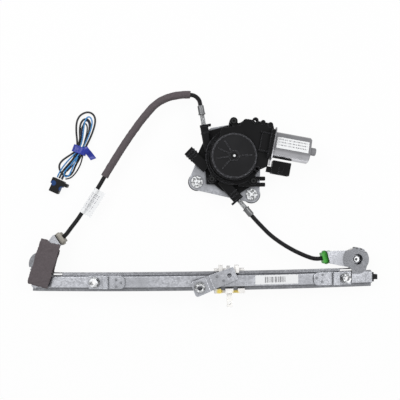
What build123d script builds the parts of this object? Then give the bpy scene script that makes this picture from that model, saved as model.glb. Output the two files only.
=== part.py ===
from build123d import *
import os
from math import asin, atan2, cos, degrees, hypot, pi, radians, sin, tan

# Cable window regulator, lying on its back on a table: a bowed hat-section rail with a pulley at
# each end, a nylon slider behind it, and a worm-geared motor that winds one steel cable through two
# Bowden conduits. Millimetres, +X along the rail, +Z up from the table.

# ---------------------------------------------------------------- driving dimensions
ORIGIN_X = -2.703            # table origin to the crown of the rail's bow
ORIGIN_Y = -2.192
FIT = 0.05                # radial running clearance of a shaft in its hole
SLIDE_GAP = 0.3           # clearance between sliding faces
LOOSE_GAP = 0.35          # clearance round parts that only pass each other

# rail
RAIL_RADIUS = 1300.0      # bow of the rail, to the back of its flanges
CROWN_Z = 34.5            # back of the flanges at the crown, above the table
RAIL_Y = -111.5           # centre line of the rail
RAIL_START = -239.0       # ends of the rail, as arc lengths from the crown
RAIL_END = 240.0
TOP_FLANGE_START = -194.5
TOP_FLANGE_END = 194.5
RAIL_HALF_WIDTH = 13.1
WEB_HALF_WIDTH = 7.4
WEB_SLOPE = 1.9
WEB_HEIGHT = 6.0
SHEET = 1.5
BEND_RADIUS = 0.7

# cable and pulleys
CABLE_RADIUS = 0.9
CABLE_SIDES = 6
CABLE_N = -3.6            # cable line behind the back of the flanges
CABLE_V = 11.9            # cable line above the rail's centre line
PULLEY_GROOVE_RADIUS = 13.5
PULLEY_RIM = 1.5
PULLEY_WIDTH = 7.0
PULLEY_RIGHT_S = 218.6
PULLEY_LEFT_S = -224.5
PULLEY_AXLE_RADIUS = 3.0
BUSH_RIGHT = (-41.1, 4.0)     # bush centres, from the pulley centres
BUSH_LEFT = (24.5, 33.0)
CONDUIT_RADIUS = 3.0
TUBE_SIDES = 10

# drive unit
DRIVE_X = 47.5
DRIVE_Y = 59.4
DRIVE_TILT = -11.25       # motor axis, degrees from +X
DRUM_RADIUS = 33.0        # to the centre of the cable
DRUM_Z = 20.0             # height of the cable plane
DRUM_WIDTH = 15.0
DRUM_RIM = 2.6
DRUM_PITCH = 3.0
OUTLET_UPPER = 110.25     # direction of the two cable outlets in the drive's frame
OUTLET_LOWER = -39.5
OUTLET_END = 51.0         # mouth of an outlet, from the tangent point on the drum
SPRING_LENGTH = 15.0
FERRULE_LENGTH = 12.5
PIN_RADIUS = 3.5
WHEEL_TEETH = 73
WHEEL_MODULE = 0.6
WHEEL_WIDTH = 9.0
WORM_ROOT_RADIUS = 2.7
WORM_PITCH_RADIUS = 3.6
MOTOR_Z = 36.0
CAN_RADIUS = 18.0
CAN_FLAT = 13.5           # axis to each flat of the can
CAN_ROLL = -20.0          # roll of the flats about the motor axis
CAN_START = 50.5
CAN_LENGTH = 50.5
CAN_WALL = 1.6
SHAFT_RADIUS = 2.4
PLATE_Z = 8.0             # underside of the mounting plate
PLATE = 2.0
LUGS = ((-43.8, -43.2), (35.3, -46.7), (15.0, 45.5))
SCREW_LUGS = ((-24.0, -36.0), (-9.0, 47.3), (33.0, -28.0))

# slider
SLIDER_START = 17.8
SLIDER_END = 59.8
SLIDER_DEPTH = 9.5
SHOE_LIP = 2.6
SHOE_THICK = 1.9

# ---------------------------------------------------------------- derived planes
RAIL_CENTRE_Z = CROWN_Z - RAIL_RADIUS
RAIL_AXIS = Axis((ORIGIN_X, 0, RAIL_CENTRE_Z), (0, 1, 0))
DRIVE = Plane(
    origin=(DRIVE_X + ORIGIN_X, DRIVE_Y + ORIGIN_Y, 0),
    x_dir=(cos(radians(DRIVE_TILT)), sin(radians(DRIVE_TILT)), 0),
    z_dir=(0, 0, 1),
)
PLATE_TOP = PLATE_Z + PLATE
WHEEL_RADIUS = WHEEL_MODULE * WHEEL_TEETH / 2
MOTOR_Y = WHEEL_RADIUS + WORM_PITCH_RADIUS


def rail_plane(arc, height=0.0, offset=0.0):
    """Tangent plane of the rail at an arc length, x along the rail, z out of its front."""
    angle = arc / RAIL_RADIUS
    radius = RAIL_RADIUS + height
    return Plane(
        origin=(
            ORIGIN_X + radius * sin(angle),
            ORIGIN_Y + RAIL_Y + offset,
            RAIL_CENTRE_Z + radius * cos(angle),
        ),
        x_dir=(cos(angle), 0, -sin(angle)),
        z_dir=(sin(angle), 0, cos(angle)),
    )


def section_plane(arc):
    """Plane across the rail at an arc length: x is the rail's width, y its height."""
    tangent = rail_plane(arc)
    return Plane(origin=tangent.origin, x_dir=(0, 1, 0), z_dir=tangent.x_dir)


def bend(profile, start, end, mode=Mode.ADD):
    """Revolve a section along the rail's bow, from one arc length to another."""
    arc = degrees((end - start) / RAIL_RADIUS)
    revolve(profile, axis=RAIL_AXIS, revolution_arc=arc, mode=mode)


def strip(start, end, low_y, high_y, low_n, high_n, mode=Mode.ADD):
    """Rectangular bar that follows the rail's bow, given by its limits across the rail."""
    with BuildSketch(section_plane(start)) as bar:
        with Locations(((low_y + high_y) / 2, (low_n + high_n) / 2)):
            Rectangle(high_y - low_y, high_n - low_n)
    bend(bar.sketch, start, end, mode)


def bore(plane, radius, depth):
    """Round hole from a plane, along its normal."""
    with BuildSketch(plane) as hole:
        Circle(radius)
    extrude(hole.sketch, amount=depth, mode=Mode.SUBTRACT)


def disc(plane, radius, height, taper=0.0):
    """Round boss from a plane, along its normal."""
    with BuildSketch(plane) as boss:
        Circle(radius)
    extrude(boss.sketch, amount=height, taper=taper)


def strand(plane, radius, sides=CABLE_SIDES):
    """Section of a stranded or coiled wire: a polygon as wide as the wire."""
    with BuildSketch(plane) as wire:
        RegularPolygon(radius, sides)
    return wire.sketch


def drive_point(x, y, z):
    """Point given in the drive's frame."""
    return DRIVE.from_local_coords((x, y, z))


def motor_plane(x):
    """Plane across the motor axis: x is the drive's y, y is height."""
    return Plane(origin=drive_point(x, MOTOR_Y, MOTOR_Z), x_dir=DRIVE.y_dir, z_dir=DRIVE.x_dir)


def sector(outer, inner, start, sweep):
    """Add a ring's sector, angles from the x axis, to the sketch being drawn."""
    reach = 3 * outer
    turns = (start, start + sweep / 2, start + sweep)
    corners = [(reach * cos(radians(turn)), reach * sin(radians(turn))) for turn in turns]
    with BuildSketch(Plane.XY) as ring:
        Circle(outer)
        Circle(inner, mode=Mode.SUBTRACT)
        Polygon((0, 0), *corners, align=None, mode=Mode.INTERSECT)
    add(ring.sketch)


def pulley_plane(arc):
    """Plane of a pulley's groove, centred on its axle."""
    return rail_plane(arc, CABLE_N, CABLE_V + PULLEY_GROOVE_RADIUS)


def cable_heading(bush, side):
    """Heading of the cable from a bush to the pulley's groove; side is +1 over the top, -1 round
    the back."""
    distance = hypot(*bush)
    lean = degrees(asin(PULLEY_GROOVE_RADIUS / distance))
    return degrees(atan2(-bush[1], -bush[0])) + side * lean


def bush_plane(arc, bush, side):
    """Plane across the conduit in a bush: z points out along the conduit."""
    plane = pulley_plane(arc)
    heading = radians(cable_heading(bush, side))
    along = plane.x_dir * cos(heading) + plane.y_dir * sin(heading)
    return Plane(
        origin=plane.from_local_coords((bush[0], bush[1], 0)),
        x_dir=plane.z_dir,
        z_dir=along * -1,
    )


def outlet_plane(direction, side, distance):
    """Plane across a cable outlet of the drum, z outwards along the cable."""
    touch = radians(direction + side * 90)
    heading = radians(direction)
    x = DRUM_RADIUS * cos(touch) + distance * cos(heading)
    y = DRUM_RADIUS * sin(touch) + distance * sin(heading)
    along = DRIVE.x_dir * cos(heading) + DRIVE.y_dir * sin(heading)
    return Plane(origin=drive_point(x, y, DRUM_Z), x_dir=(0, 0, 1), z_dir=along)


def easy_radii(points, ease=0.45):
    """Largest tangent arcs that the runs of a route leave room for."""
    radii = []
    for before, corner, after in zip(points, points[1:], points[2:]):
        run_in = Vector(corner) - Vector(before)
        run_out = Vector(after) - Vector(corner)
        turn = radians(run_in.get_angle(run_out))
        radii.append(ease * min(run_in.length, run_out.length) / tan(turn / 2))
    return radii


def route_tube(points, radii, radius, inner_radius=0.0):
    """Many-sided tube along straight runs joined by tangent arcs."""
    with BuildLine() as path:
        FilletPolyline(*points, radius=radii)
    wire = path.wires()[0]
    with BuildSketch(Plane(origin=wire @ 0, z_dir=wire % 0)) as section:
        RegularPolygon(radius, TUBE_SIDES)
        if inner_radius:
            RegularPolygon(inner_radius, TUBE_SIDES, major_radius=False, mode=Mode.SUBTRACT)
    sweep(section.sketch, path=wire)
    return wire.length


def save(piece, name):
    """Label a finished piece and write it."""
    piece.part.label = name
    export_step(piece.part, f"parts/{name}.step")


os.makedirs("parts", exist_ok=True)

# ================================================================ rail
RAIL_SLOTS = ((-126.5, 8.0, 4.0), (179.5, 9.0, 3.6))
FLANGE_IN = WEB_HALF_WIDTH + WEB_SLOPE
NUT_ARCS = (-146.5, 200.5)
NUT_HOLE = 4.2

with BuildPart() as rail:
    with BuildSketch(section_plane(RAIL_START)) as rail_section:
        with BuildLine():
            Polyline(
                (0, WEB_HEIGHT),
                (WEB_HALF_WIDTH, WEB_HEIGHT),
                (FLANGE_IN, SHEET),
                (RAIL_HALF_WIDTH, SHEET),
                (RAIL_HALF_WIDTH, 0),
                (FLANGE_IN - SHEET * 0.8, 0),
                (WEB_HALF_WIDTH - SHEET * 0.8, WEB_HEIGHT - SHEET),
                (0, WEB_HEIGHT - SHEET),
            )
            mirror(about=Plane.YZ)
        make_face()
        fillet(rail_section.vertices().filter_by_position(Axis.Y, SHEET, WEB_HEIGHT), BEND_RADIUS)
    bend(rail_section.sketch, RAIL_START, RAIL_END)
    # the flange on the cable's side stops short of both pulleys
    for start, end in ((RAIL_START - 1, TOP_FLANGE_START), (TOP_FLANGE_END, RAIL_END + 1)):
        strip(start, end, FLANGE_IN - 0.4, RAIL_HALF_WIDTH + 1, -1, SHEET + 0.01, Mode.SUBTRACT)
    for arc, length, width in RAIL_SLOTS:
        with BuildSketch(rail_plane(arc)):
            SlotOverall(length, width)
        extrude(amount=WEB_HEIGHT + 1, mode=Mode.SUBTRACT)
    for arc in NUT_ARCS:
        bore(rail_plane(arc), NUT_HOLE, WEB_HEIGHT + 1)
save(rail, "rail")

# ================================================================ brackets on the rail
PAD = 1.6                 # thickness of the bracket sheets
LEFT_BRACKET = (-155.0, -104.5)
LEFT_FOLD = (-134.5, -127.5)
RIGHT_BRACKET = (155.0, 208.5)
RIGHT_FOLD = (182.0, 191.0)
PAD_HALF_WIDTH = 8.9
FOLD_RISE = 3.2
MIDDLE_ARC = 17.5
MIDDLE_TURN = 20.5
MIDDLE_RISE = 5.8
WEB_FRONT = WEB_HEIGHT


def end_bracket(limits, fold, nut_arc):
    """Bracket with a nut pad, a raised fold and a clinch pad."""
    wide = PAD_HALF_WIDTH
    top = WEB_FRONT + PAD
    strip(limits[0], limits[1], -wide, wide, WEB_FRONT, top)
    strip(fold[0], fold[1], -wide, wide, WEB_FRONT, top + FOLD_RISE)
    strip(fold[0] + PAD, fold[1] - PAD, -wide - 1, wide + 1, WEB_FRONT - 1, top + FOLD_RISE - PAD,
          Mode.SUBTRACT)
    bore(rail_plane(nut_arc), NUT_HOLE, WEB_FRONT + 9)


with BuildPart() as rail_bracket_left:
    end_bracket(LEFT_BRACKET, LEFT_FOLD, NUT_ARCS[0])
    end_edges = rail_bracket_left.edges().filter_by(lambda e: e.length < PAD + 0.1)
    fillet(end_edges.sort_by(Axis.X)[-2:], PAD_HALF_WIDTH - 2.5)
    fillet(end_edges.sort_by(Axis.X)[:2], 1.5)
save(rail_bracket_left, "rail_bracket_left")

with BuildPart() as rail_bracket_right:
    end_bracket(RIGHT_BRACKET, RIGHT_FOLD, NUT_ARCS[1])
    end_edges = rail_bracket_right.edges().filter_by(lambda e: e.length < PAD + 0.1)
    fillet(end_edges.sort_by(Axis.X)[:2], PAD_HALF_WIDTH - 2.5)
    fillet(end_edges.sort_by(Axis.X)[-2:], 1.5)
save(rail_bracket_right, "rail_bracket_right")

MIDDLE = rail_plane(MIDDLE_ARC, WEB_FRONT).rotated((0, 0, MIDDLE_TURN))
MIDDLE_NUT_X = -21.0
MIDDLE_SEAT = (-4.0, 31.5)
MIDDLE_PAD_END = -30.5
MIDDLE_RAMP = 6.0
MIDDLE_GAP = 0.25         # the flat plate over the bowed web

with BuildPart() as rail_bracket_middle:
    side_plane = Plane(origin=MIDDLE.origin, x_dir=MIDDLE.x_dir, z_dir=MIDDLE.y_dir * -1)
    with BuildSketch(side_plane):
        with BuildLine():
            Polyline(
                (MIDDLE_PAD_END, MIDDLE_RISE),
                (MIDDLE_SEAT[0] - MIDDLE_RAMP, MIDDLE_RISE),
                (MIDDLE_SEAT[0], MIDDLE_GAP),
                (MIDDLE_SEAT[1], MIDDLE_GAP),
                (MIDDLE_SEAT[1], MIDDLE_GAP + PAD),
                (MIDDLE_SEAT[0] + PAD * 0.4, MIDDLE_GAP + PAD),
                (MIDDLE_SEAT[0] - MIDDLE_RAMP + PAD * 0.4, MIDDLE_RISE + PAD),
                (MIDDLE_PAD_END, MIDDLE_RISE + PAD),
                close=True,
            )
        make_face()
    extrude(amount=14, both=True)
    with BuildSketch(MIDDLE):
        with BuildLine():
            Polyline(
                (MIDDLE_PAD_END, -11.2),
                (MIDDLE_SEAT[0], -10.2),
                (MIDDLE_SEAT[1], -9.0),
                (MIDDLE_SEAT[1], 9.0),
                (MIDDLE_SEAT[0], 10.2),
                (MIDDLE_PAD_END, 11.2),
                close=True,
            )
        outline = make_face()
        fillet(outline.vertices().sort_by(Axis.X)[:2], 4)
        fillet(outline.vertices().sort_by(Axis.X)[-2:], 0.8)
        with Locations((MIDDLE_NUT_X, 0)):
            Circle(NUT_HOLE, mode=Mode.SUBTRACT)
        with Locations((MIDDLE_SEAT[1] - 9, 0)):
            Circle(3.2, mode=Mode.SUBTRACT)
    extrude(amount=12, mode=Mode.INTERSECT)
save(rail_bracket_middle, "rail_bracket_middle")

# fastening nuts: a flange, a hexagon and a plain bore for the thread
NUT_BORE = 3.4
NUT_FLANGE = 7.2
NUT_ACROSS = 11.5
NUT_HEIGHT = 6.5
NUT_FLANGE_HEIGHT = 1.6
NUT_EASE = 0.4


def rail_nut(seat):
    """Flange nut standing on a seat plane, with its thread eased below."""
    disc(seat, NUT_FLANGE, NUT_FLANGE_HEIGHT)
    with BuildSketch(seat.offset(NUT_FLANGE_HEIGHT)) as hexagon:
        RegularPolygon(NUT_ACROSS / 2, 6, major_radius=False)
    extrude(hexagon.sketch, amount=NUT_HEIGHT - NUT_FLANGE_HEIGHT)
    bore(seat, NUT_BORE, NUT_HEIGHT)
    with BuildSketch(seat) as ease:
        Circle(NUT_BORE + NUT_EASE)
    extrude(ease.sketch, amount=NUT_EASE, taper=45, mode=Mode.SUBTRACT)


middle_nut_seat = Plane(
    origin=MIDDLE.from_local_coords((MIDDLE_NUT_X, 0, MIDDLE_RISE + PAD)),
    x_dir=MIDDLE.x_dir,
    z_dir=MIDDLE.z_dir,
)
NUT_SEATS = (
    rail_plane(NUT_ARCS[0], WEB_FRONT + PAD + 0.02),
    middle_nut_seat,
    rail_plane(NUT_ARCS[1], WEB_FRONT + PAD + 0.02),
)

with BuildPart() as rail_nuts:
    for seat in NUT_SEATS:
        rail_nut(seat)
save(rail_nuts, "rail_nuts")

# clinch rivets that hold the brackets to the web
RIVETS = ((-116.5, 3.4), (-116.5, -6.0), (-110.0, -0.6), (159.0, 1.5), (166.5, -3.6), (167.5, 5.6))
MIDDLE_RIVETS = ((6.0, 4.5), (12.5, -4.0))

RIVET_RADIUS = 1.7
RIVET_HEIGHT = 0.7

with BuildPart() as clinch_rivets:
    for arc, offset in RIVETS:
        disc(rail_plane(arc, WEB_FRONT + PAD, offset), RIVET_RADIUS, RIVET_HEIGHT, taper=20)
    for x, y in MIDDLE_RIVETS:
        seat = Plane(MIDDLE.from_local_coords((x, y, MIDDLE_GAP + PAD)), MIDDLE.x_dir, MIDDLE.z_dir)
        disc(seat, RIVET_RADIUS, RIVET_HEIGHT, taper=20)
save(clinch_rivets, "clinch_rivets")

# ================================================================ end pulleys
PULLEY_RADIUS = PULLEY_GROOVE_RADIUS + PULLEY_RIM
AXLE_HEAD = 4.6
DISH_RADIUS = 8.5
CUP_RADIUS = 16.5
DISH_FLOOR = PULLEY_WIDTH / 2 + LOOSE_GAP       # above the groove plane
CUP_TOP = WEB_FRONT + PAD - CABLE_N             # above the groove plane
CUP_DEPTH = 14.5
EAR_WIDTH = 13.0
TONGUE_INNER = 9.0
TONGUE_OUTER = 11.0
TONGUE_WIDTH = 14.0
EAR_NECK = 4.3
BUSH_LENGTH = 13.0
BUSH_WIDTH = 15.0
BUSH_HEIGHT = 10.5
SOCKET_DEPTH = 6.0


def pulley(arc):
    """Grooved pulley with a hub, ribs between hub and rim, and a running bore."""
    plane = pulley_plane(arc)
    side = Plane(origin=plane.origin, x_dir=plane.x_dir, z_dir=plane.y_dir * -1)
    half = PULLEY_WIDTH / 2
    groove = CABLE_RADIUS + LOOSE_GAP
    mouth = groove + 0.75
    with BuildSketch(side) as profile:
        with BuildLine():
            Line((PULLEY_AXLE_RADIUS + FIT, -half), (PULLEY_RADIUS, -half))
            Line((PULLEY_RADIUS, -half), (PULLEY_RADIUS, -mouth))
            Line((PULLEY_RADIUS, -mouth), (PULLEY_GROOVE_RADIUS, -groove))
            Line((PULLEY_GROOVE_RADIUS, -groove), (PULLEY_GROOVE_RADIUS - groove, -groove / 2))
            Line(
                (PULLEY_GROOVE_RADIUS - groove, -groove / 2),
                (PULLEY_GROOVE_RADIUS - groove, groove / 2),
            )
            Line((PULLEY_GROOVE_RADIUS - groove, groove / 2), (PULLEY_GROOVE_RADIUS, groove))
            Line((PULLEY_GROOVE_RADIUS, groove), (PULLEY_RADIUS, mouth))
            Line((PULLEY_RADIUS, mouth), (PULLEY_RADIUS, half))
            Line((PULLEY_RADIUS, half), (PULLEY_AXLE_RADIUS + FIT, half))
            Line((PULLEY_AXLE_RADIUS + FIT, half), (PULLEY_AXLE_RADIUS + FIT, -half))
        make_face()
    revolve(profile.sketch, axis=Axis(plane.origin, plane.z_dir))
    # lightening pockets in the rear face
    with BuildSketch(plane.offset(-half)) as pockets:
        with PolarLocations(0, 3):
            sector(10.2, 7.0, 15, 90)
    extrude(pockets.sketch, amount=half - 1, mode=Mode.SUBTRACT)


with BuildPart() as pulley_left:
    pulley(PULLEY_LEFT_S)
save(pulley_left, "pulley_left")

with BuildPart() as pulley_right:
    pulley(PULLEY_RIGHT_S)
save(pulley_right, "pulley_right")

with BuildPart() as pulley_axles:
    for arc in (PULLEY_LEFT_S, PULLEY_RIGHT_S):
        plane = pulley_plane(arc)
        back = -PULLEY_WIDTH / 2 - SLIDE_GAP
        disc(plane.offset(back - 1.5), AXLE_HEAD, 1.5)
        disc(plane.offset(back), PULLEY_AXLE_RADIUS, DISH_FLOOR + PAD - back)
        disc(plane.offset(DISH_FLOOR + PAD), AXLE_HEAD, 1.8, taper=25)
save(pulley_axles, "pulley_axles")


def pulley_bracket(arc, bush, side, arm_root, skirt_start, skirt_sweep, slots):
    """Stamped end bracket: rail tongue, dished disc, slotted skirt, arm and bush ear."""
    plane = pulley_plane(arc)
    outward = 1 if arc > 0 else -1
    ear = bush_plane(arc, bush, side)
    ear_centre = plane.to_local_coords(ear.origin)
    heading = cable_heading(bush, side)
    top = plane.offset(CUP_TOP - PAD)
    # flat sheet: disc, tongue on the rail's web and arm towards the bush
    tongue_low = -CABLE_V - PULLEY_GROOVE_RADIUS - TONGUE_WIDTH / 2
    with BuildSketch(top) as sheet:
        Circle(CUP_RADIUS)
        with BuildLine():
            Polyline(
                (-TONGUE_INNER * outward, 0),
                (-TONGUE_INNER * outward, tongue_low),
                (TONGUE_OUTER * outward, tongue_low),
                (TONGUE_OUTER * outward, tongue_low + TONGUE_WIDTH),
                (CUP_RADIUS * 0.8 * outward, -CUP_RADIUS * 0.55),
                close=True,
            )
        make_face()
    extrude(sheet.sketch, amount=PAD)
    with BuildSketch(top) as arm:
        Circle(arm_root)
        with Locations(Location((ear_centre.X, ear_centre.Y, 0), heading)):
            Rectangle(3.0, EAR_WIDTH + 4)
        make_hull()
    extrude(arm.sketch, amount=PAD)
    bore(top, DISH_RADIUS, PAD)
    # dished centre round the axle
    side_plane = Plane(origin=plane.origin, x_dir=plane.x_dir, z_dir=plane.y_dir * -1)
    with BuildSketch(side_plane) as dish:
        with BuildLine():
            Polyline(
                (PULLEY_AXLE_RADIUS, DISH_FLOOR),
                (DISH_RADIUS - 1.6, DISH_FLOOR),
                (DISH_RADIUS + 0.6, CUP_TOP - PAD),
                (DISH_RADIUS + 0.6, CUP_TOP),
                (DISH_RADIUS - 1.0, CUP_TOP),
                (DISH_RADIUS - 2.8, DISH_FLOOR + PAD),
                (PULLEY_AXLE_RADIUS, DISH_FLOOR + PAD),
                close=True,
            )
        make_face()
    revolve(dish.sketch, axis=Axis(plane.origin, plane.z_dir))
    # skirt round the rim, away from the cable's way in and out
    with BuildSketch(top) as skirt:
        with BuildLine():
            outer = CenterArc((0, 0), CUP_RADIUS, skirt_start, skirt_sweep)
            inner = CenterArc((0, 0), CUP_RADIUS - SHEET * 0.8, skirt_start, skirt_sweep)
            Line(outer @ 0, inner @ 0)
            Line(outer @ 1, inner @ 1)
        make_face()
    extrude(skirt.sketch, amount=PAD - CUP_DEPTH)
    with BuildSketch(plane.offset(CUP_TOP + 1)) as rim_slots:
        for angle in slots:
            with PolarLocations(CUP_RADIUS, 1, start_angle=angle):
                Rectangle(4.2, 2.6)
    extrude(rim_slots.sketch, amount=-6.0, mode=Mode.SUBTRACT)
    # ear that grips the bush's neck
    ear_top = CUP_TOP - PAD
    ear_low = -BUSH_HEIGHT / 2 - 0.5
    with BuildSketch(ear.offset(-SHEET / 2)) as grip:
        with Locations(((ear_top + ear_low) / 2, 0)):
            Rectangle(ear_top - ear_low, EAR_WIDTH + 4)
        with Locations((-BUSH_HEIGHT / 2, 0)):
            Rectangle(BUSH_HEIGHT, EAR_NECK * 2, mode=Mode.SUBTRACT)
        Circle(EAR_NECK, mode=Mode.SUBTRACT)
    extrude(grip.sketch, amount=SHEET)


with BuildPart() as pulley_bracket_right:
    pulley_bracket(PULLEY_RIGHT_S, BUSH_RIGHT, 1, 13.0, -35, 130, (94, 71, 44))
save(pulley_bracket_right, "pulley_bracket_right")

with BuildPart() as pulley_bracket_left:
    pulley_bracket(PULLEY_LEFT_S, BUSH_LEFT, -1, 9.0, 150, 65, (200,))
save(pulley_bracket_left, "pulley_bracket_left")


def conduit_bush(arc, bush, side):
    """Moulded bush: two blocks joined by a round neck, bored for the cable and the conduit."""
    plane = bush_plane(arc, bush, side)
    neck = SHEET / 2
    inner_end = -BUSH_LENGTH * 0.4
    outer_end = BUSH_LENGTH * 0.6
    for start, end in ((inner_end, -neck), (neck, outer_end)):
        with BuildSketch(plane.offset(start)) as block:
            RectangleRounded(BUSH_HEIGHT, BUSH_WIDTH, 2.2)
        extrude(block.sketch, amount=end - start)
    disc(plane.offset(-neck), EAR_NECK, SHEET)
    with BuildSketch(plane.offset(neck)) as wings:
        Rectangle(5.0, BUSH_WIDTH + 3.6)
    extrude(wings.sketch, amount=4.0)
    bore(plane.offset(inner_end), CABLE_RADIUS + LOOSE_GAP, BUSH_LENGTH)
    bore(plane.offset(outer_end - SOCKET_DEPTH), CONDUIT_RADIUS, SOCKET_DEPTH)


with BuildPart() as conduit_bush_right:
    conduit_bush(PULLEY_RIGHT_S, BUSH_RIGHT, 1)
save(conduit_bush_right, "conduit_bush_right")

with BuildPart() as conduit_bush_left:
    conduit_bush(PULLEY_LEFT_S, BUSH_LEFT, -1)
save(conduit_bush_left, "conduit_bush_left")

# ================================================================ cable along the rail


def groove_point(arc, degrees_round):
    """Point of the cable in a pulley's groove."""
    angle = radians(degrees_round)
    local = (PULLEY_GROOVE_RADIUS * cos(angle), PULLEY_GROOVE_RADIUS * sin(angle), 0)
    return pulley_plane(arc).from_local_coords(local)


def bow_point(arc):
    """Point of the cable behind the rail's flange."""
    return rail_plane(arc, CABLE_N, CABLE_V).origin


touch_left = cable_heading(BUSH_LEFT, -1) - 90 + 360
touch_right = cable_heading(BUSH_RIGHT, 1) + 90
with BuildPart() as rail_cable:
    with BuildLine() as cable_path:
        bush_mouth = bush_plane(PULLEY_LEFT_S, BUSH_LEFT, -1).offset(1.0).origin
        Line(bush_mouth, groove_point(PULLEY_LEFT_S, touch_left))
        ThreePointArc(
            groove_point(PULLEY_LEFT_S, touch_left),
            groove_point(PULLEY_LEFT_S, (touch_left + 270) / 2),
            groove_point(PULLEY_LEFT_S, 270),
        )
        ThreePointArc(bow_point(PULLEY_LEFT_S), bow_point(0), bow_point(PULLEY_RIGHT_S))
        ThreePointArc(
            groove_point(PULLEY_RIGHT_S, -90),
            groove_point(PULLEY_RIGHT_S, (touch_right - 90) / 2),
            groove_point(PULLEY_RIGHT_S, touch_right),
        )
        bush_mouth = bush_plane(PULLEY_RIGHT_S, BUSH_RIGHT, 1).offset(1.0).origin
        Line(groove_point(PULLEY_RIGHT_S, touch_right), bush_mouth)
    cable_wire = cable_path.wires()[0]
    sweep(strand(Plane(origin=cable_wire @ 0, z_dir=cable_wire % 0), CABLE_RADIUS), path=cable_wire)
save(rail_cable, "rail_cable")

# ================================================================ drive unit: plate and mounts
LUG_RADII = (11.5, 11.5, 9.0)
PLATE_CORNER = (-33.0, 28.0)
PLATE_CORNER_RADIUS = 9.0
SLEEVE_RADIUS = 6.0
SLEEVE_BORE = 3.3
SLEEVE_FLANGE = 8.2
SLEEVE_FLANGE_HEIGHT = 1.6
CROWN_RADIUS = 4.6
CROWN_HEIGHT = 0.9
CROWN_WALL = 1.1
RING_OVERHANG = 1.1
HOUSING_RADIUS = 39.0
SCREW_RADIUS = 2.0

with BuildPart() as mounting_plate:
    with BuildSketch(DRIVE.offset(PLATE_Z)):
        for lug, radius in zip(LUGS, LUG_RADII):
            with Locations(lug):
                Circle(radius)
        with Locations(PLATE_CORNER):
            Circle(PLATE_CORNER_RADIUS)
        Circle(HOUSING_RADIUS)
        make_hull()
        with Locations(*LUGS):
            Circle(SLEEVE_RADIUS + FIT, mode=Mode.SUBTRACT)
        with Locations(*SCREW_LUGS):
            Circle(SCREW_RADIUS + FIT, mode=Mode.SUBTRACT)
        Circle(PIN_RADIUS + FIT, mode=Mode.SUBTRACT)
        # drain and lightening windows under the drum
        with PolarLocations(22.0, 4, start_angle=30):
            Circle(6.5, mode=Mode.SUBTRACT)
    extrude(amount=PLATE)
    fillet(mounting_plate.edges().group_by(Axis.Z)[-1].sort_by(Edge.length)[-1:], 0.5)
save(mounting_plate, "mounting_plate")

with BuildPart() as rubber_rings:
    with BuildSketch(DRIVE):
        for lug, radius in zip(LUGS, LUG_RADII):
            with Locations(lug):
                Circle(radius + RING_OVERHANG)
                Circle(SLEEVE_RADIUS + FIT, mode=Mode.SUBTRACT)
    extrude(amount=PLATE_Z)
    chamfer(rubber_rings.edges().filter_by(GeomType.CIRCLE).filter_by(
        lambda e: e.radius > SLEEVE_RADIUS + 1), 1.0)
save(rubber_rings, "rubber_rings")

with BuildPart() as mount_sleeves:
    with BuildSketch(DRIVE.offset(0.5)):
        with Locations(*LUGS):
            Circle(SLEEVE_RADIUS)
    extrude(amount=PLATE_TOP - 0.5)
    with BuildSketch(DRIVE.offset(PLATE_TOP)):
        with Locations(*LUGS):
            Circle(SLEEVE_FLANGE)
    extrude(amount=SLEEVE_FLANGE_HEIGHT)
    # closed crown with a notched boss
    with BuildSketch(DRIVE.offset(PLATE_TOP + SLEEVE_FLANGE_HEIGHT)):
        with Locations(*LUGS):
            Circle(CROWN_RADIUS)
            with PolarLocations(CROWN_RADIUS, 3, start_angle=90):
                Rectangle(3.4, 1.6, mode=Mode.SUBTRACT)
    extrude(amount=CROWN_HEIGHT)
    with BuildSketch(DRIVE):
        with Locations(*LUGS):
            Circle(SLEEVE_BORE)
    extrude(amount=PLATE_TOP + SLEEVE_FLANGE_HEIGHT - CROWN_WALL, mode=Mode.SUBTRACT)
save(mount_sleeves, "mount_sleeves")

# ================================================================ drive unit: drum and its housing
DRUM_LOW = DRUM_Z - 8.6
DRUM_TOP = DRUM_LOW + DRUM_WIDTH
HOUSING_WALL = 2.4
ROOF_LOW = DRUM_TOP + 0.6
ROOF_TOP = ROOF_LOW + 2.5
DRUM_OUTER = DRUM_RADIUS + DRUM_RIM
HUB_RADIUS = 9.0
HEX = 6.6                 # half the size across the flats of the wheel's drive hub
GROOVES = (-2, -1, 0, 1)
OUTLETS = ((OUTLET_UPPER, 1), (OUTLET_LOWER, -1))
CHANNEL_START = 14.0      # from the tangent point on the drum
CHANNEL_WIDTHS = {1: 11.0, -1: 14.5}
CHANNEL_RIBS = {1: (12.0,), -1: (9.0, 14.0)}      # back from the mouth
CHANNEL_HEIGHT = 13.0
CHANNEL_FLANGE = 2.6
FERRULE_NECK = 2.3
NECK_LENGTH = 7.0
SCREW_TOPS = (33.0, 39.0, ROOF_TOP)       # undersides of the screw heads
SOCKET_HEADING = 146.8
SOCKET_END = 66.0
SOCKET_WIDTH = 14.3
SOCKET_LOW = 16.0
SOCKET_HEIGHT = 13.5
SKIRT_HEIGHT = 4.0
SKIRT_GAP = 0.5
SKIRT = (
    (-40.8, 30.3), (-13.8, 43.4), (1.1, 50.0), (6.0, 54.5), (11.0, 57.0), (19.0, 57.0), (26.0, 52.0),
    (36.0, 20.0), (42.0, -3.2), (34.0, -21.9), (33.5, -34.9), (24.8, -42.2), (18.1, -48.5),
    (10.5, -53.0), (-6.9, -48.8), (-18.9, -42.3), (-30.1, -43.7), (-34.8, -25.9), (-47.7, -21.8),
    (-50.7, -17.4), (-48.9, 0.1),
)
PRONG_HEADING = 10.4
PRONGS = (-38.7, -30.3)
PRONG_WIDTH = 5.6

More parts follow.
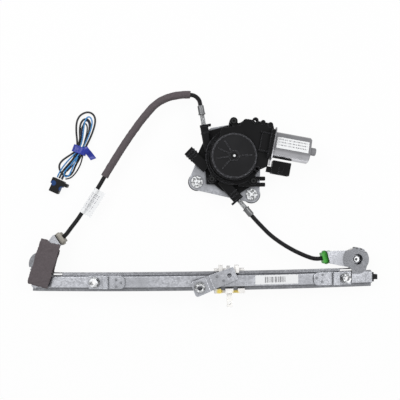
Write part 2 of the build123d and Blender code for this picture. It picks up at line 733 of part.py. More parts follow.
with BuildPart() as drum:
    side = Plane(origin=drive_point(0, 0, 0), x_dir=DRIVE.x_dir, z_dir=DRIVE.y_dir * -1)
    with BuildSketch(side):
        with BuildLine():
            Polyline(
                (PIN_RADIUS + FIT, DRUM_LOW),
                (DRUM_OUTER, DRUM_LOW),
                (DRUM_OUTER, DRUM_TOP),
                (PIN_RADIUS + FIT, DRUM_TOP),
                close=True,
            )
        make_face()
        groove = CABLE_RADIUS + LOOSE_GAP
        for turn in GROOVES:
            with Locations((0, DRUM_Z + turn * DRUM_PITCH)):
                Polygon(
                    (DRUM_OUTER + 1, -groove),
                    (DRUM_RADIUS, -groove),
                    (DRUM_RADIUS - groove, -groove / 2),
                    (DRUM_RADIUS - groove, groove / 2),
                    (DRUM_RADIUS, groove),
                    (DRUM_OUTER + 1, groove),
                    align=None,
                    mode=Mode.SUBTRACT,
                )
    revolve(axis=Axis(DRIVE.origin, (0, 0, 1)))
    with BuildSketch(DRIVE.offset(DRUM_TOP - 7)):
        RegularPolygon(HEX + FIT, 6, major_radius=False)
    extrude(amount=8, mode=Mode.SUBTRACT)
    with BuildSketch(DRIVE.offset(DRUM_LOW)):
        with PolarLocations(0, 4):
            sector(26.0, 14.5, 8, 74)
    extrude(amount=DRUM_WIDTH - 3, mode=Mode.SUBTRACT)
save(drum, "drum")

with BuildPart() as cable_turns:
    with BuildSketch(side):
        for turn in GROOVES:
            if turn:
                with Locations((DRUM_RADIUS, DRUM_Z + turn * DRUM_PITCH)):
                    RegularPolygon(CABLE_RADIUS, CABLE_SIDES)
    revolve(axis=Axis(DRIVE.origin, (0, 0, 1)))
save(cable_turns, "cable_turns")


def channel(direction, side_sign):
    """Square channel that leads the cable off the drum, with a flange at its mouth."""
    plane = outlet_plane(direction, side_sign, CHANNEL_START)
    length = OUTLET_END - CHANNEL_START
    wide = CHANNEL_WIDTHS[side_sign]
    with BuildSketch(plane) as bar:
        RectangleRounded(CHANNEL_HEIGHT, wide, 2.5)
    extrude(bar.sketch, amount=length)
    for rib in CHANNEL_RIBS[side_sign]:
        with BuildSketch(plane.offset(length - rib)) as collar:
            RectangleRounded(CHANNEL_HEIGHT + 1.2, wide + 1.2, 2.5)
        extrude(collar.sketch, amount=CHANNEL_FLANGE / 2)
    with BuildSketch(plane.offset(length - CHANNEL_FLANGE)) as flange:
        with Locations((0, 2.0)):
            RectangleRounded(CHANNEL_HEIGHT + 1.0, wide + 4.5, 1.5)
    extrude(flange.sketch, amount=CHANNEL_FLANGE)


def channel_bores(direction, side_sign):
    """Way for the cable through a channel, with the ferrule's guide at the mouth."""
    bore(outlet_plane(direction, side_sign, 0), CABLE_RADIUS + LOOSE_GAP, OUTLET_END + 1)
    guide = outlet_plane(direction, side_sign, OUTLET_END - NECK_LENGTH - 2)
    bore(guide, FERRULE_NECK + FIT, NECK_LENGTH + 3)


with BuildPart() as drum_housing:
    with BuildSketch(DRIVE.offset(PLATE_TOP)):
        Circle(HOUSING_RADIUS)
    extrude(amount=ROOF_TOP - PLATE_TOP)
    # low skirt that covers most of the plate
    with BuildSketch(DRIVE.offset(PLATE_TOP)):
        Polygon(*SKIRT, align=None)
        with Locations(*LUGS):
            Circle(SLEEVE_FLANGE + SKIRT_GAP, mode=Mode.SUBTRACT)
    extrude(amount=SKIRT_HEIGHT)
    # screw lugs, each webbed to the wall
    for (x, y), top in zip(SCREW_LUGS, SCREW_TOPS):
        with BuildSketch(DRIVE.offset(PLATE_TOP)):
            with Locations((x, y)):
                Circle(5.6)
            with Locations((x * 0.78, y * 0.78)):
                Circle(7.0)
            make_hull()
        extrude(amount=ROOF_TOP - PLATE_TOP)
        with BuildSketch(DRIVE.offset(PLATE_TOP)):
            with Locations((x, y)):
                Circle(5.6)
        extrude(amount=(ROOF_TOP if y > 0 else top) - PLATE_TOP)
    for direction, side_sign in OUTLETS:
        channel(direction, side_sign)
    # open socket on the left, with fins along its sides
    socket_along = DRIVE.x_dir * cos(radians(SOCKET_HEADING)) + DRIVE.y_dir * sin(
        radians(SOCKET_HEADING))
    socket_mouth = Plane(
        origin=drive_point(
            SOCKET_END * cos(radians(SOCKET_HEADING)) - 8.5,
            SOCKET_END * sin(radians(SOCKET_HEADING)) - 39.0,
            SOCKET_LOW + SOCKET_HEIGHT / 2,
        ),
        x_dir=(0, 0, 1),
        z_dir=socket_along,
    )
    with BuildSketch(socket_mouth):
        RectangleRounded(SOCKET_HEIGHT, SOCKET_WIDTH, 1.2)
    extrude(amount=-36)
    for fin in range(3):
        with BuildSketch(socket_mouth.offset(-4 - fin * 4.2)):
            RectangleRounded(SOCKET_HEIGHT + 1.6, SOCKET_WIDTH + 1.6, 1.2)
        extrude(amount=-1.4)
    with BuildSketch(socket_mouth):
        RectangleRounded(SOCKET_HEIGHT - 3.4, SOCKET_WIDTH - 3.4, 1.0)
    extrude(amount=-14, mode=Mode.SUBTRACT)
    # two parallel clip arms on the right, on a common root
    clip = DRIVE.offset(21.0).rotated((0, 0, PRONG_HEADING))
    with BuildSketch(clip):
        with Locations((17.5, (PRONGS[0] + PRONGS[1]) / 2)):
            Rectangle(21.0, PRONGS[1] - PRONGS[0] + PRONG_WIDTH)
        for middle in PRONGS:
            with Locations((31.0, middle)):
                RectangleRounded(26.0, PRONG_WIDTH, 1.2)
    extrude(amount=6.0)
    # concentric ridges beside the gear housing
    for ridge in (34.9, 37.6):
        with BuildSketch(DRIVE.offset(ROOF_TOP)):
            sector(ridge + 0.75, ridge - 0.75, 143, 137)
        extrude(amount=2.4)
    bore(DRIVE.offset(PLATE_TOP), DRUM_OUTER + SLIDE_GAP, ROOF_LOW - PLATE_TOP)
    bore(DRIVE.offset(ROOF_LOW - 1), HUB_RADIUS + SLIDE_GAP, 5)
    for direction, side_sign in OUTLETS:
        channel_bores(direction, side_sign)
    for (x, y), top in zip(SCREW_LUGS, SCREW_TOPS):
        bore(Plane(DRIVE.from_local_coords((x, y, PLATE_TOP)), DRIVE.x_dir), SCREW_RADIUS + FIT, 40)
save(drum_housing, "drum_housing")

with BuildPart() as housing_screws:
    for (x, y), top in zip(SCREW_LUGS, SCREW_TOPS):
        seat = Plane(DRIVE.from_local_coords((x, y, top)), DRIVE.x_dir)
        disc(seat, 3.9, 2.2, taper=8)
        disc(seat.offset(PLATE_Z - 1 - top), SCREW_RADIUS, top - PLATE_Z + 1)
        with BuildSketch(seat.offset(1.0)):
            RegularPolygon(1.7, 6)
        extrude(amount=3, mode=Mode.SUBTRACT)
save(housing_screws, "housing_screws")

with BuildPart() as conduit_ferrules:
    for direction, side_sign in OUTLETS:
        mouth = outlet_plane(direction, side_sign, OUTLET_END)
        disc(mouth.offset(-NECK_LENGTH), FERRULE_NECK, NECK_LENGTH + SPRING_LENGTH)
        disc(mouth.offset(SPRING_LENGTH), 4.35, FERRULE_LENGTH)
        disc(mouth.offset(SPRING_LENGTH), 4.9, 1.8)
        bore(mouth.offset(-NECK_LENGTH), CABLE_RADIUS + LOOSE_GAP, 60)
        bore(mouth.offset(SPRING_LENGTH + 4), CONDUIT_RADIUS, FERRULE_LENGTH)
save(conduit_ferrules, "conduit_ferrules")

with BuildPart() as drive_cable:
    for direction, side_sign in OUTLETS:
        run = OUTLET_END + SPRING_LENGTH + 3
        extrude(strand(outlet_plane(direction, side_sign, 0), CABLE_RADIUS), amount=run)
save(drive_cable, "drive_cable")

SPRING_MEAN = 3.15
SPRING_WIRE = 0.7
SPRING_TURNS = 7
SPRING_STEPS = 9          # straight pieces in one turn
for name, (direction, side_sign) in zip(("upper", "lower"), OUTLETS):
    with BuildPart() as tension_spring:
        foot = outlet_plane(direction, side_sign, OUTLET_END + SPRING_WIRE)
        rise = (SPRING_LENGTH - SPRING_WIRE * 2) / (SPRING_TURNS * SPRING_STEPS)
        steps = [(radians(360 / SPRING_STEPS) * step, rise * step)
                 for step in range(SPRING_TURNS * SPRING_STEPS + 1)]
        coil_points = [foot.from_local_coords((SPRING_MEAN * cos(turn), SPRING_MEAN * sin(turn), high))
                       for turn, high in steps]
        with BuildLine() as coil:
            Polyline(*coil_points)
        wire = coil.wires()[0]
        section = strand(Plane(origin=wire @ 0, z_dir=wire % 0), SPRING_WIRE, 4)
        sweep(section, path=wire, transition=Transition.RIGHT)
    save(tension_spring, f"tension_spring_{name}")

with BuildPart() as drum_pin:
    disc(DRIVE.offset(PLATE_Z - 1.5), PIN_RADIUS + 2.5, 1.5)
    disc(DRIVE.offset(PLATE_Z), PIN_RADIUS, 42.2)
    chamfer(drum_pin.edges().sort_by(Axis.Z)[-1], 0.8)
save(drum_pin, "drum_pin")

# ================================================================ drive unit: gear stage
GEAR_FLOOR = ROOF_TOP + 1.6
GEAR_CAVITY = WHEEL_RADIUS + WHEEL_MODULE + 1.6
GEAR_OUTER = 33.0
COVER_RADIUS = 31.5
COVER_SEAT = 45.0
COVER_THICK = 2.5
WHEEL_LOW = MOTOR_Z - WHEEL_WIDTH / 2 + 0.4
WHEEL_FACE = WHEEL_WIDTH - 0.8
TUNNEL_RADIUS = 9.0
WORM_BORE = 5.0
TUNNEL_START = -25.0
BLOCK_END = 49.0
COVER_RIBS = (133.4, 164.9, 199.1, 236.8, 12.4)

with BuildPart() as worm_wheel:
    with BuildSketch(DRIVE.offset(WHEEL_LOW)):
        Circle(WHEEL_RADIUS - 1.2 * WHEEL_MODULE)
        with PolarLocations(WHEEL_RADIUS - 0.15 * WHEEL_MODULE, WHEEL_TEETH):
            Trapezoid(
                WHEEL_MODULE * 2.1,
                WHEEL_MODULE * 2.3,
                66,
                rotation=-90,
            )
        Circle(PIN_RADIUS + FIT, mode=Mode.SUBTRACT)
    extrude(amount=WHEEL_FACE)
    with BuildSketch(DRIVE.offset(DRUM_TOP - 6.5)):
        RegularPolygon(HEX, 6, major_radius=False)
        Circle(PIN_RADIUS + FIT, mode=Mode.SUBTRACT)
    extrude(amount=WHEEL_LOW - DRUM_TOP + 6.5)
    # damper pockets between the hub and the toothed rim
    with BuildSketch(DRIVE.offset(WHEEL_LOW + WHEEL_FACE)):
        with PolarLocations(0, 3):
            sector(16.4, 10.0, 15, 85)
    extrude(amount=-WHEEL_FACE + 2.0, mode=Mode.SUBTRACT)
save(worm_wheel, "worm_wheel")

with BuildPart() as gear_housing:
    with BuildSketch(DRIVE.offset(ROOF_TOP)):
        Circle(GEAR_OUTER)
        with BuildLine():
            Polyline(
                (0, -10.0), (28.0, -14.0), (38.0, -12.0), (BLOCK_END - 2, -6.0), (BLOCK_END - 2, 46.0),
                (44.0, 52.5), (5.0, 52.5), (0, 42.5), (-24.0, 34.0), (-24.0, 16.0), close=True,
            )
        make_face()
    extrude(amount=COVER_SEAT - ROOF_TOP)
    gear_edges = gear_housing.edges().filter_by(Axis.Z)
    fillet(gear_edges.filter_by(lambda e: (e @ 0.5 - DRIVE.origin).length > 50), 4.0)
    # tunnel over the worm, up to the motor's flange
    with BuildSketch(motor_plane(BLOCK_END - 5)):
        RectangleRounded(40.0, 35.0, 6.0)
    extrude(amount=5)
    # moulded bumps along the top edge
    for x, y, radius, top in (
        (19.7, 52.5, 4.2, 47.0), (30.5, 52.0, 3.2, 46.0), (41.0, 50.5, 3.6, 46.0),
        (33.5, -12.0, 3.8, 46.5), (*SCREW_LUGS[1], 5.4, SCREW_TOPS[1]), (-5.0, 42.0, 4.5, SCREW_TOPS[1]),
    ):
        with BuildSketch(DRIVE.offset(ROOF_TOP)):
            with Locations((x, y)):
                Circle(radius)
        extrude(amount=top - ROOF_TOP)
    # stepped box over the brushes
    with BuildSketch(DRIVE.offset(COVER_SEAT)):
        with Locations((38.5, 26.0)):
            RectangleRounded(13.0, 26.0, 1.5)
    extrude(amount=3.0)
    for rib_y in (38.5, 13.5):
        with BuildSketch(DRIVE.offset(COVER_SEAT)):
            with Locations((38.5, rib_y)):
                Rectangle(16.0, 1.6)
        extrude(amount=4.5)
    bore(DRIVE.offset(GEAR_FLOOR), GEAR_CAVITY, 20)
    bore(DRIVE.offset(ROOF_TOP - 1), HUB_RADIUS + SLIDE_GAP, 5)
    bore(motor_plane(TUNNEL_START + 3), WORM_BORE, BLOCK_END - TUNNEL_START)
    for x, y in ((33.5, -12.0), (19.7, 52.5), SCREW_LUGS[1]):
        bore(Plane(DRIVE.from_local_coords((x, y, ROOF_TOP))), SCREW_RADIUS + FIT, 30)
save(gear_housing, "gear_housing")

with BuildPart() as gear_cover:
    disc(DRIVE.offset(COVER_SEAT), COVER_RADIUS, COVER_THICK)
    chamfer(gear_cover.edges().group_by(Axis.Z)[-1], 0.9)
    top = COVER_SEAT + COVER_THICK
    with BuildSketch(DRIVE.offset(top)):
        for angle in COVER_RIBS:
            with Locations(Location((0, 0, 0), angle)):
                with Locations((14.5, 0)):
                    Rectangle(19.0, 1.3)
        Circle(7.2)
        Circle(5.0, mode=Mode.SUBTRACT)
    extrude(amount=1.1)
    with BuildSketch(DRIVE.offset(top)):
        Circle(COVER_RADIUS - 1.6)
        Circle(COVER_RADIUS - 2.9, mode=Mode.SUBTRACT)
    extrude(amount=0.8)
    bore(DRIVE.offset(COVER_SEAT), PIN_RADIUS + FIT, 10)
    with BuildSketch(DRIVE.offset(COVER_SEAT)):
        with Locations((22.4, 25.4)):
            Rectangle(26, 17.0)
        Circle(COVER_RADIUS - 4, mode=Mode.INTERSECT)
    extrude(amount=1.0, mode=Mode.SUBTRACT)
save(gear_cover, "gear_cover")

# ================================================================ motor
CAN_END = CAN_START + CAN_LENGTH
FLANGE_START = BLOCK_END
BOSS_RADIUS = 5.4
BOSS_LENGTH = 8.5
BEARING_RADIUS = WORM_BORE
CORE_RADIUS = 11.0
MAGNET_INNER = 11.9
ARMATURE = (63.0, 90.0)


def can_section(x, inset):
    """Round section with two flats, shrunk by an inset."""
    with BuildSketch(motor_plane(x)) as section:
        Circle(CAN_RADIUS - inset)
        Rectangle(4 * CAN_RADIUS, 2 * (CAN_FLAT - inset), rotation=CAN_ROLL, mode=Mode.INTERSECT)
    return section.sketch


with BuildPart() as motor_can:
    extrude(can_section(CAN_START, 0), amount=CAN_LENGTH)
    far_edges = motor_can.edges().filter_by(
        lambda e: DRIVE.to_local_coords(e @ 0.5).X > CAN_END - 0.1)
    chamfer(far_edges, 1.8)
    disc(motor_plane(CAN_END - 1), BOSS_RADIUS, BOSS_LENGTH + 1)
    boss_edges = motor_can.edges().filter_by(
        lambda e: DRIVE.to_local_coords(e @ 0.5).X > CAN_END + BOSS_LENGTH - 0.1)
    chamfer(boss_edges, 1.0)
    # mounting flange with two screw ears
    with BuildSketch(motor_plane(FLANGE_START)):
        RectangleRounded(42.0, 38.0, 7.0)
        with Locations((-24.5, 0)):
            RectangleRounded(9.0, 16.0, 3.0)
        with Locations((20.0, 6.0)):
            RectangleRounded(6.0, 14.0, 2.5)
    extrude(amount=CAN_START - FLANGE_START)
    extrude(can_section(FLANGE_START - 1, CAN_WALL), amount=CAN_LENGTH, mode=Mode.SUBTRACT)
    bore(motor_plane(CAN_END - 3), BEARING_RADIUS - 0.8, BOSS_LENGTH + 1.5)
save(motor_can, "motor_can")

with BuildPart() as motor_magnets:
    with BuildSketch(motor_plane(ARMATURE[0] - 3)):
        Circle(CAN_RADIUS - CAN_WALL - 0.05)
        Circle(MAGNET_INNER, mode=Mode.SUBTRACT)
        Rectangle(
            4 * CAN_RADIUS, 2 * (CAN_FLAT - CAN_WALL) - 3, rotation=CAN_ROLL, mode=Mode.INTERSECT)
    extrude(amount=ARMATURE[1] - ARMATURE[0] + 6)
save(motor_magnets, "motor_magnets")

with BuildPart() as brush_holder:
    extrude(can_section(FLANGE_START + 1.2, CAN_WALL + 0.1), amount=6)
    bore(motor_plane(FLANGE_START), 7.0, 12)
    with BuildSketch(motor_plane(FLANGE_START)):
        Rectangle(24.0, 5.2)
    extrude(amount=8, mode=Mode.SUBTRACT)
save(brush_holder, "brush_holder")

with BuildPart() as brushes:
    with BuildSketch(motor_plane(FLANGE_START + 2)):
        with Locations((-8.6, 0), (8.6, 0)):
            Rectangle(6.4, 5.0)
    extrude(amount=4.6)
save(brushes, "brushes")

with BuildPart() as commutator:
    with BuildSketch(motor_plane(FLANGE_START + 1.5)):
        Circle(5.1)
        Circle(SHAFT_RADIUS, mode=Mode.SUBTRACT)
        with PolarLocations(5.1, 8):
            Rectangle(1.2, 0.5, mode=Mode.SUBTRACT)
    extrude(amount=8)
save(commutator, "commutator")

with BuildPart() as armature_core:
    with BuildSketch(motor_plane(ARMATURE[0])):
        Circle(CORE_RADIUS)
        Circle(SHAFT_RADIUS, mode=Mode.SUBTRACT)
        with PolarLocations(CORE_RADIUS - 2, 8):
            Rectangle(6.0, 1.8, mode=Mode.SUBTRACT)
    extrude(amount=ARMATURE[1] - ARMATURE[0])
save(armature_core, "armature_core")

with BuildPart() as armature_winding:
    for start in (ARMATURE[0] - 3.4, ARMATURE[1]):
        with BuildSketch(motor_plane(start)):
            Circle(9.6)
            Circle(SHAFT_RADIUS, mode=Mode.SUBTRACT)
        extrude(amount=3.4)
save(armature_winding, "armature_winding")

with BuildPart() as armature_shaft:
    disc(motor_plane(TUNNEL_START + 4), SHAFT_RADIUS, CAN_END + BOSS_LENGTH - 3 - TUNNEL_START - 4)
    disc(motor_plane(-14), WORM_ROOT_RADIUS, 28)
save(armature_shaft, "armature_shaft")

with BuildPart() as shaft_bearings:
    for start, length, outer in (
        (TUNNEL_START + 3.4, 5.0, BEARING_RADIUS),
        (38.0, 6.0, BEARING_RADIUS),
        (CAN_END - 1.5, 6.5, BEARING_RADIUS - 0.8),
    ):
        disc(motor_plane(start), outer, length)
        bore(motor_plane(start), SHAFT_RADIUS + FIT, length)
save(shaft_bearings, "shaft_bearings")

# ================================================================ motor connector
PLUG_X = (54.0, 79.5)
PLUG_Y = (-13.5, 4.6)
PLUG_Z = (20.0, 37.0)
PLUG_WALL = 1.8
PLUG_DEPTH = 12.5
PIN_ROWS = ((60.0, 66.75, 73.5), (25.5, 31.5))

with BuildPart() as motor_connector:
    with BuildSketch(DRIVE.offset(PLUG_Z[0])):
        with Locations((sum(PLUG_X) / 2, sum(PLUG_Y) / 2)):
            RectangleRounded(PLUG_X[1] - PLUG_X[0], PLUG_Y[1] - PLUG_Y[0], 1.0)
    extrude(amount=PLUG_Z[1] - PLUG_Z[0])
    with BuildSketch(DRIVE.offset(31.0)):
        with Locations((BLOCK_END + 1.75, -9.0)):
            Rectangle(7.5, 8.0)
    extrude(amount=5.0)
    # latch ramp on the face towards the front
    latch = Plane(origin=drive_point(64.0, 0, 0), x_dir=DRIVE.y_dir, z_dir=DRIVE.x_dir)
    with BuildSketch(latch):
        Polygon((-12.5, PLUG_Z[1]), (-3.0, PLUG_Z[1]), (-10.0, PLUG_Z[1] + 2.6), align=None)
    extrude(amount=6.0)
    mouth = Plane(
        origin=drive_point(sum(PLUG_X) / 2, PLUG_Y[0], sum(PLUG_Z) / 2),
        x_dir=DRIVE.x_dir,
        z_dir=DRIVE.y_dir,
    )
    with BuildSketch(mouth):
        RectangleRounded(
            PLUG_X[1] - PLUG_X[0] - 2 * PLUG_WALL, PLUG_Z[1] - PLUG_Z[0] - 2 * PLUG_WALL, 1.0)
    extrude(amount=PLUG_DEPTH, mode=Mode.SUBTRACT)
save(motor_connector, "motor_connector")

with BuildPart() as connector_pins:
    pins = Plane(
        origin=drive_point(0, PLUG_Y[0] + PLUG_DEPTH, 0), x_dir=DRIVE.x_dir, z_dir=DRIVE.y_dir * -1)
    with BuildSketch(pins):
        for x in PIN_ROWS[0]:
            for z in PIN_ROWS[1]:
                with Locations((x, z)):
                    Rectangle(1.4, 0.8)
    extrude(amount=5.0)
save(connector_pins, "connector_pins")

# ================================================================ slider
SLIDER_HALF = 17.2
SHOE_IN = RAIL_HALF_WIDTH + SLIDE_GAP
SHOE_FRONT = SHEET + SLIDE_GAP
TAB_TOP = 20.8
TABS = ((24.3, 29.8), (46.8, 52.3))
CHAMBERS = ((22.3, 30.8), (47.3, 55.8))
RELIEFS = ((27.0, 33.0), (44.0, 50.0))
POST = (35.6, 42.6)
POST_END = -37.4
POST_HOLE = 2.1
POST_HOLE_Y = -32.0
NIPPLE_RADIUS = 2.4

with BuildPart() as glass_carrier:
    back = -SLIDER_DEPTH
    strip(SLIDER_START, SLIDER_END, -SLIDER_HALF, SLIDER_HALF - 1, back, -SLIDE_GAP)
    strip(SLIDER_START, SLIDER_END, -SLIDER_HALF, -SHOE_IN, back, SHOE_FRONT + SHOE_THICK)
    strip(SLIDER_START, SLIDER_END, -SLIDER_HALF, -SHOE_IN + SHOE_LIP, SHOE_FRONT,
          SHOE_FRONT + SHOE_THICK)
    for start, end in TABS:
        strip(start, end, SHOE_IN, TAB_TOP, back, SHOE_FRONT + SHOE_THICK)
        strip(start, end, SHOE_IN - SHOE_LIP, TAB_TOP, SHOE_FRONT, SHOE_FRONT + SHOE_THICK)
    # relieved stretches between the three lower shoes
    for start, end in RELIEFS:
        strip(start, end, -SLIDER_HALF - 1, -SHOE_IN + SHOE_LIP + 1, -SLIDE_GAP * 2,
              SHOE_FRONT + SHOE_THICK + 1, Mode.SUBTRACT)
    strip(POST[0], POST[1], POST_END, -SLIDER_HALF + 2, back, -4.0)
    bore(rail_plane(sum(POST) / 2, back - 1, POST_HOLE_Y), POST_HOLE, 10)
    # window, nipple chambers and the cable's way through
    strip(36.5, 45.5, -8.5, 4.0, back - 1, 1, Mode.SUBTRACT)
    for start, end in CHAMBERS:
        strip(start, end, CABLE_V - NIPPLE_RADIUS - 0.3, CABLE_V + NIPPLE_RADIUS + 0.3, back - 1,
              CABLE_N + NIPPLE_RADIUS + 0.2, Mode.SUBTRACT)
    with BuildSketch(section_plane(SLIDER_START - 1)) as way:
        with Locations((CABLE_V, CABLE_N)):
            Circle(CABLE_RADIUS + LOOSE_GAP)
    bend(way.sketch, SLIDER_START - 1, SLIDER_END + 1, Mode.SUBTRACT)
save(glass_carrier, "glass_carrier")

with BuildPart() as cable_nipples:
    for start, end in CHAMBERS:
        with BuildSketch(section_plane(start + 0.1)) as nipple:
            with Locations((CABLE_V, CABLE_N)):
                Circle(NIPPLE_RADIUS)
                Circle(CABLE_RADIUS + LOOSE_GAP, mode=Mode.SUBTRACT)
        bend(nipple.sketch, start + 0.1, end - 0.1)
save(cable_nipples, "cable_nipples")

SLIDER_SCREWS = ((26.3, -6.0), (51.3, -6.0))
with BuildPart() as slider_plate:
    strip(20.8, 56.8, -12.0, 13.0, -SLIDER_DEPTH - PAD, -SLIDER_DEPTH)
    strip(35.8, 40.8, 12.0, 19.5, -SLIDER_DEPTH - PAD, -SLIDER_DEPTH)
    for arc, offset in SLIDER_SCREWS:
        bore(rail_plane(arc, -SLIDER_DEPTH - PAD - 1, offset), 1.6, 4)
save(slider_plate, "slider_plate")

with BuildPart() as slider_screws:
    for arc, offset in SLIDER_SCREWS:
        head = rail_plane(arc, -SLIDER_DEPTH - PAD, offset)
        disc(head.offset(-1.45), 3.0, 1.4)
        disc(head.offset(-0.1), 1.55, PAD)
save(slider_screws, "slider_screws")

# ================================================================ end buffer
BUFFER_START = 228.0
BUFFER_END = 247.9

with BuildPart() as end_buffer:
    inner = WEB_HALF_WIDTH - SHEET - 0.4
    strip(BUFFER_START, RAIL_END + 1.0, -inner, inner, 0.2, WEB_HEIGHT - SHEET)
    strip(RAIL_END, RAIL_END + 2.5, -WEB_HALF_WIDTH + 1, WEB_HALF_WIDTH - 1, 0, WEB_HEIGHT)
    strip(RAIL_END, BUFFER_END, -3.4, 3.4, 0.0, WEB_HEIGHT)
save(end_buffer, "end_buffer")

# ================================================================ Bowden conduits
SOCKET_START = OUTLET_END + SPRING_LENGTH + 4.0
BUSH_OUT = BUSH_LENGTH * 0.6 - SOCKET_DEPTH
FOAM_RADIUS = 5.6
FOAM_BORE = CONDUIT_RADIUS + 0.15
UPPER_ROUTE = (
    (-5.5, 146.6, 20.0), (-16.5, 147.9, 20.0), (-31.0, 146.9, 20.0),
    (-48.0, 142.6, 20.0), (-62.0, 133.8, 20.0), (-80.0, 113.6, 19.5), (-101.0, 85.4, 18.5),
    (-127.0, 45.8, 17.5), (-140.5, 22.9, 17.0), (-172.0, -24.2, 16.5), (-180.5, -35.0, 17.0),
)
LOWER_ROUTE = (
    (97.0, -50.2, 20.5), (114.0, -63.0, 21.0), (131.0, -73.2, 21.5),
    (146.5, -80.4, 22.0), (157.0, -84.2, 22.0),
)
FOAM_FROM = 1             # runs of the upper route on whose middles the foam starts and ends
FOAM_TO = 8
TAG_RUN = 9


def on_table(point):
    """Point given from the crown of the rail, moved into the part's frame."""
    return Vector(point[0] + ORIGIN_X, point[1] + ORIGIN_Y, point[2])


def conduit_points(direction, side_sign, route, arc, bush, side):
    """Whole route of a conduit, from inside its ferrule to inside its bush."""
    seat = bush_plane(arc, bush, side)
    start = outlet_plane(direction, side_sign, SOCKET_START).origin
    lead_out = outlet_plane(direction, side_sign, SOCKET_START + FERRULE_LENGTH + 4.5).origin
    lead_in = seat.offset(BUSH_LENGTH * 0.6 + 3.5).origin
    return [start, lead_out, *map(on_table, route), lead_in, seat.offset(BUSH_OUT).origin]


upper_points = conduit_points(OUTLET_UPPER, 1, UPPER_ROUTE, PULLEY_LEFT_S, BUSH_LEFT, -1)
lower_points = conduit_points(OUTLET_LOWER, -1, LOWER_ROUTE, PULLEY_RIGHT_S, BUSH_RIGHT, 1)
upper_radii = easy_radii(upper_points)
lower_radii = easy_radii(lower_points)

with BuildPart() as conduit_upper:
    upper_length = route_tube(upper_points, upper_radii, CONDUIT_RADIUS)
save(conduit_upper, "conduit_upper")

with BuildPart() as conduit_lower:
    lower_length = route_tube(lower_points, lower_radii, CONDUIT_RADIUS)
save(conduit_lower, "conduit_lower")

with BuildPart() as foam_sleeve:
    first = FOAM_FROM + 1
    last = FOAM_TO + 1
    foam_points = [
        (upper_points[first] + upper_points[first + 1]) / 2,
        *upper_points[first + 1:last + 1],
        (upper_points[last] + upper_points[last + 1]) / 2,
    ]
    foam_length = route_tube(foam_points, upper_radii[first:last], FOAM_RADIUS, FOAM_BORE)
save(foam_sleeve, "foam_sleeve")

for name, length, radii, piece in (
    ("conduit_upper", upper_length, upper_radii, conduit_upper),
    ("conduit_lower", lower_length, lower_radii, conduit_lower),
):
    share = piece.part.volume / (pi * CONDUIT_RADIUS**2 * length)
    print(name, "length", round(length), "volume share", round(share, 4),
          "radii", [round(r) for r in radii])

# blank flag label folded round the straight stretch of the conduit
TAG_LENGTH = 40.0
TAG_WIDTH = 13.5
TAG_THICK = 0.5
tag_start = upper_points[TAG_RUN + 1]
tag_along = (upper_points[TAG_RUN + 2] - tag_start).normalized()
tag_across = Vector(-tag_along.Y, tag_along.X, 0).normalized()
tag_plane = Plane(origin=tag_start + tag_along * 6.0, x_dir=tag_across, z_dir=tag_along)
with BuildPart() as conduit_tag:
    with BuildSketch(tag_plane):
        Circle(CONDUIT_RADIUS + 0.05 + TAG_THICK)
        with Locations((TAG_WIDTH / 2, 0)):
            Rectangle(TAG_WIDTH, TAG_THICK)
        Circle(CONDUIT_RADIUS + 0.05, mode=Mode.SUBTRACT)
    extrude(amount=TAG_LENGTH)
save(conduit_tag, "conduit_tag")

# ================================================================ foam wrap round the left end
WRAP_TURN = -15.9
WRAP_CENTRE = (6.0, -0.5)
WRAP_LENGTH = 67.0
WRAP_WIDTH = 30.0
WRAP_LOW = -9.6           # from the groove plane of the left pulley
WRAP_HIGH = 15.1
WRAP_WALL = 1.9

with BuildPart() as foam_wrap:
    pulley_face = pulley_plane(PULLEY_LEFT_S)
    wrap_plane = Plane(
        origin=pulley_face.from_local_coords((WRAP_CENTRE[0], WRAP_CENTRE[1], 0)),
        x_dir=pulley_face.x_dir,
        z_dir=pulley_face.z_dir,
    ).rotated((0, 0, WRAP_TURN))
    wrap_side = Plane(origin=wrap_plane.origin, x_dir=wrap_plane.y_dir, z_dir=wrap_plane.x_dir)
    middle_n = (WRAP_LOW + WRAP_HIGH) / 2
    height = WRAP_HIGH - WRAP_LOW
    with BuildSketch(wrap_side):
        with Locations((0, middle_n)):
            RectangleRounded(WRAP_LENGTH, height, 5.0)
            RectangleRounded(WRAP_LENGTH - 2 * WRAP_WALL, height - 2 * WRAP_WALL, 3.2,
                             mode=Mode.SUBTRACT)
    extrude(amount=WRAP_WIDTH / 2, both=True)
    # open where the rail runs in below and where the arm leaves above
    with BuildSketch(wrap_plane.offset(-CABLE_N - 3.0)):
        with Locations((0, -WRAP_LENGTH / 2)):
            Rectangle(WRAP_WIDTH + 2, 14.0)
    extrude(amount=WEB_FRONT + PAD + 4.0, mode=Mode.SUBTRACT)
    with BuildSketch(wrap_plane.offset(WRAP_LOW - 1)):
        with Locations((WRAP_WIDTH / 2 - 7.0, WRAP_LENGTH / 2 - 3.0)):
            Rectangle(26.0, 12.0)
    extrude(amount=height - WRAP_WALL + 0.7, mode=Mode.SUBTRACT)
save(foam_wrap, "foam_wrap")

# ================================================================ loose adapter harness
HARNESS_HIGH = 9.6
HANK_LOW = 1.6
HANK_TOP = (-161.0, 114.6)
HANK_WAIST = (-169.7, 73.4)
HANK_FOOT = (-187.6, 46.6)
PLUG_REAR = (-198.5, 33.9)
PLUG_HEADING = -115.0

with BuildPart() as harness_hank:
    with BuildSketch(Plane.XY.offset(HANK_LOW)):
        for centre, radius in ((HANK_TOP, 14.0), (HANK_FOOT, 13.0)):
            with BuildSketch(Plane.XY) as lobe:
                with Locations((centre[0] + ORIGIN_X, centre[1] + ORIGIN_Y)):
                    Circle(radius)
                with Locations((HANK_WAIST[0] + ORIGIN_X, HANK_WAIST[1] + ORIGIN_Y)):
                    Circle(7.5)
                make_hull()
    extrude(amount=HARNESS_HIGH - HANK_LOW)
save(harness_hank, "harness_hank")

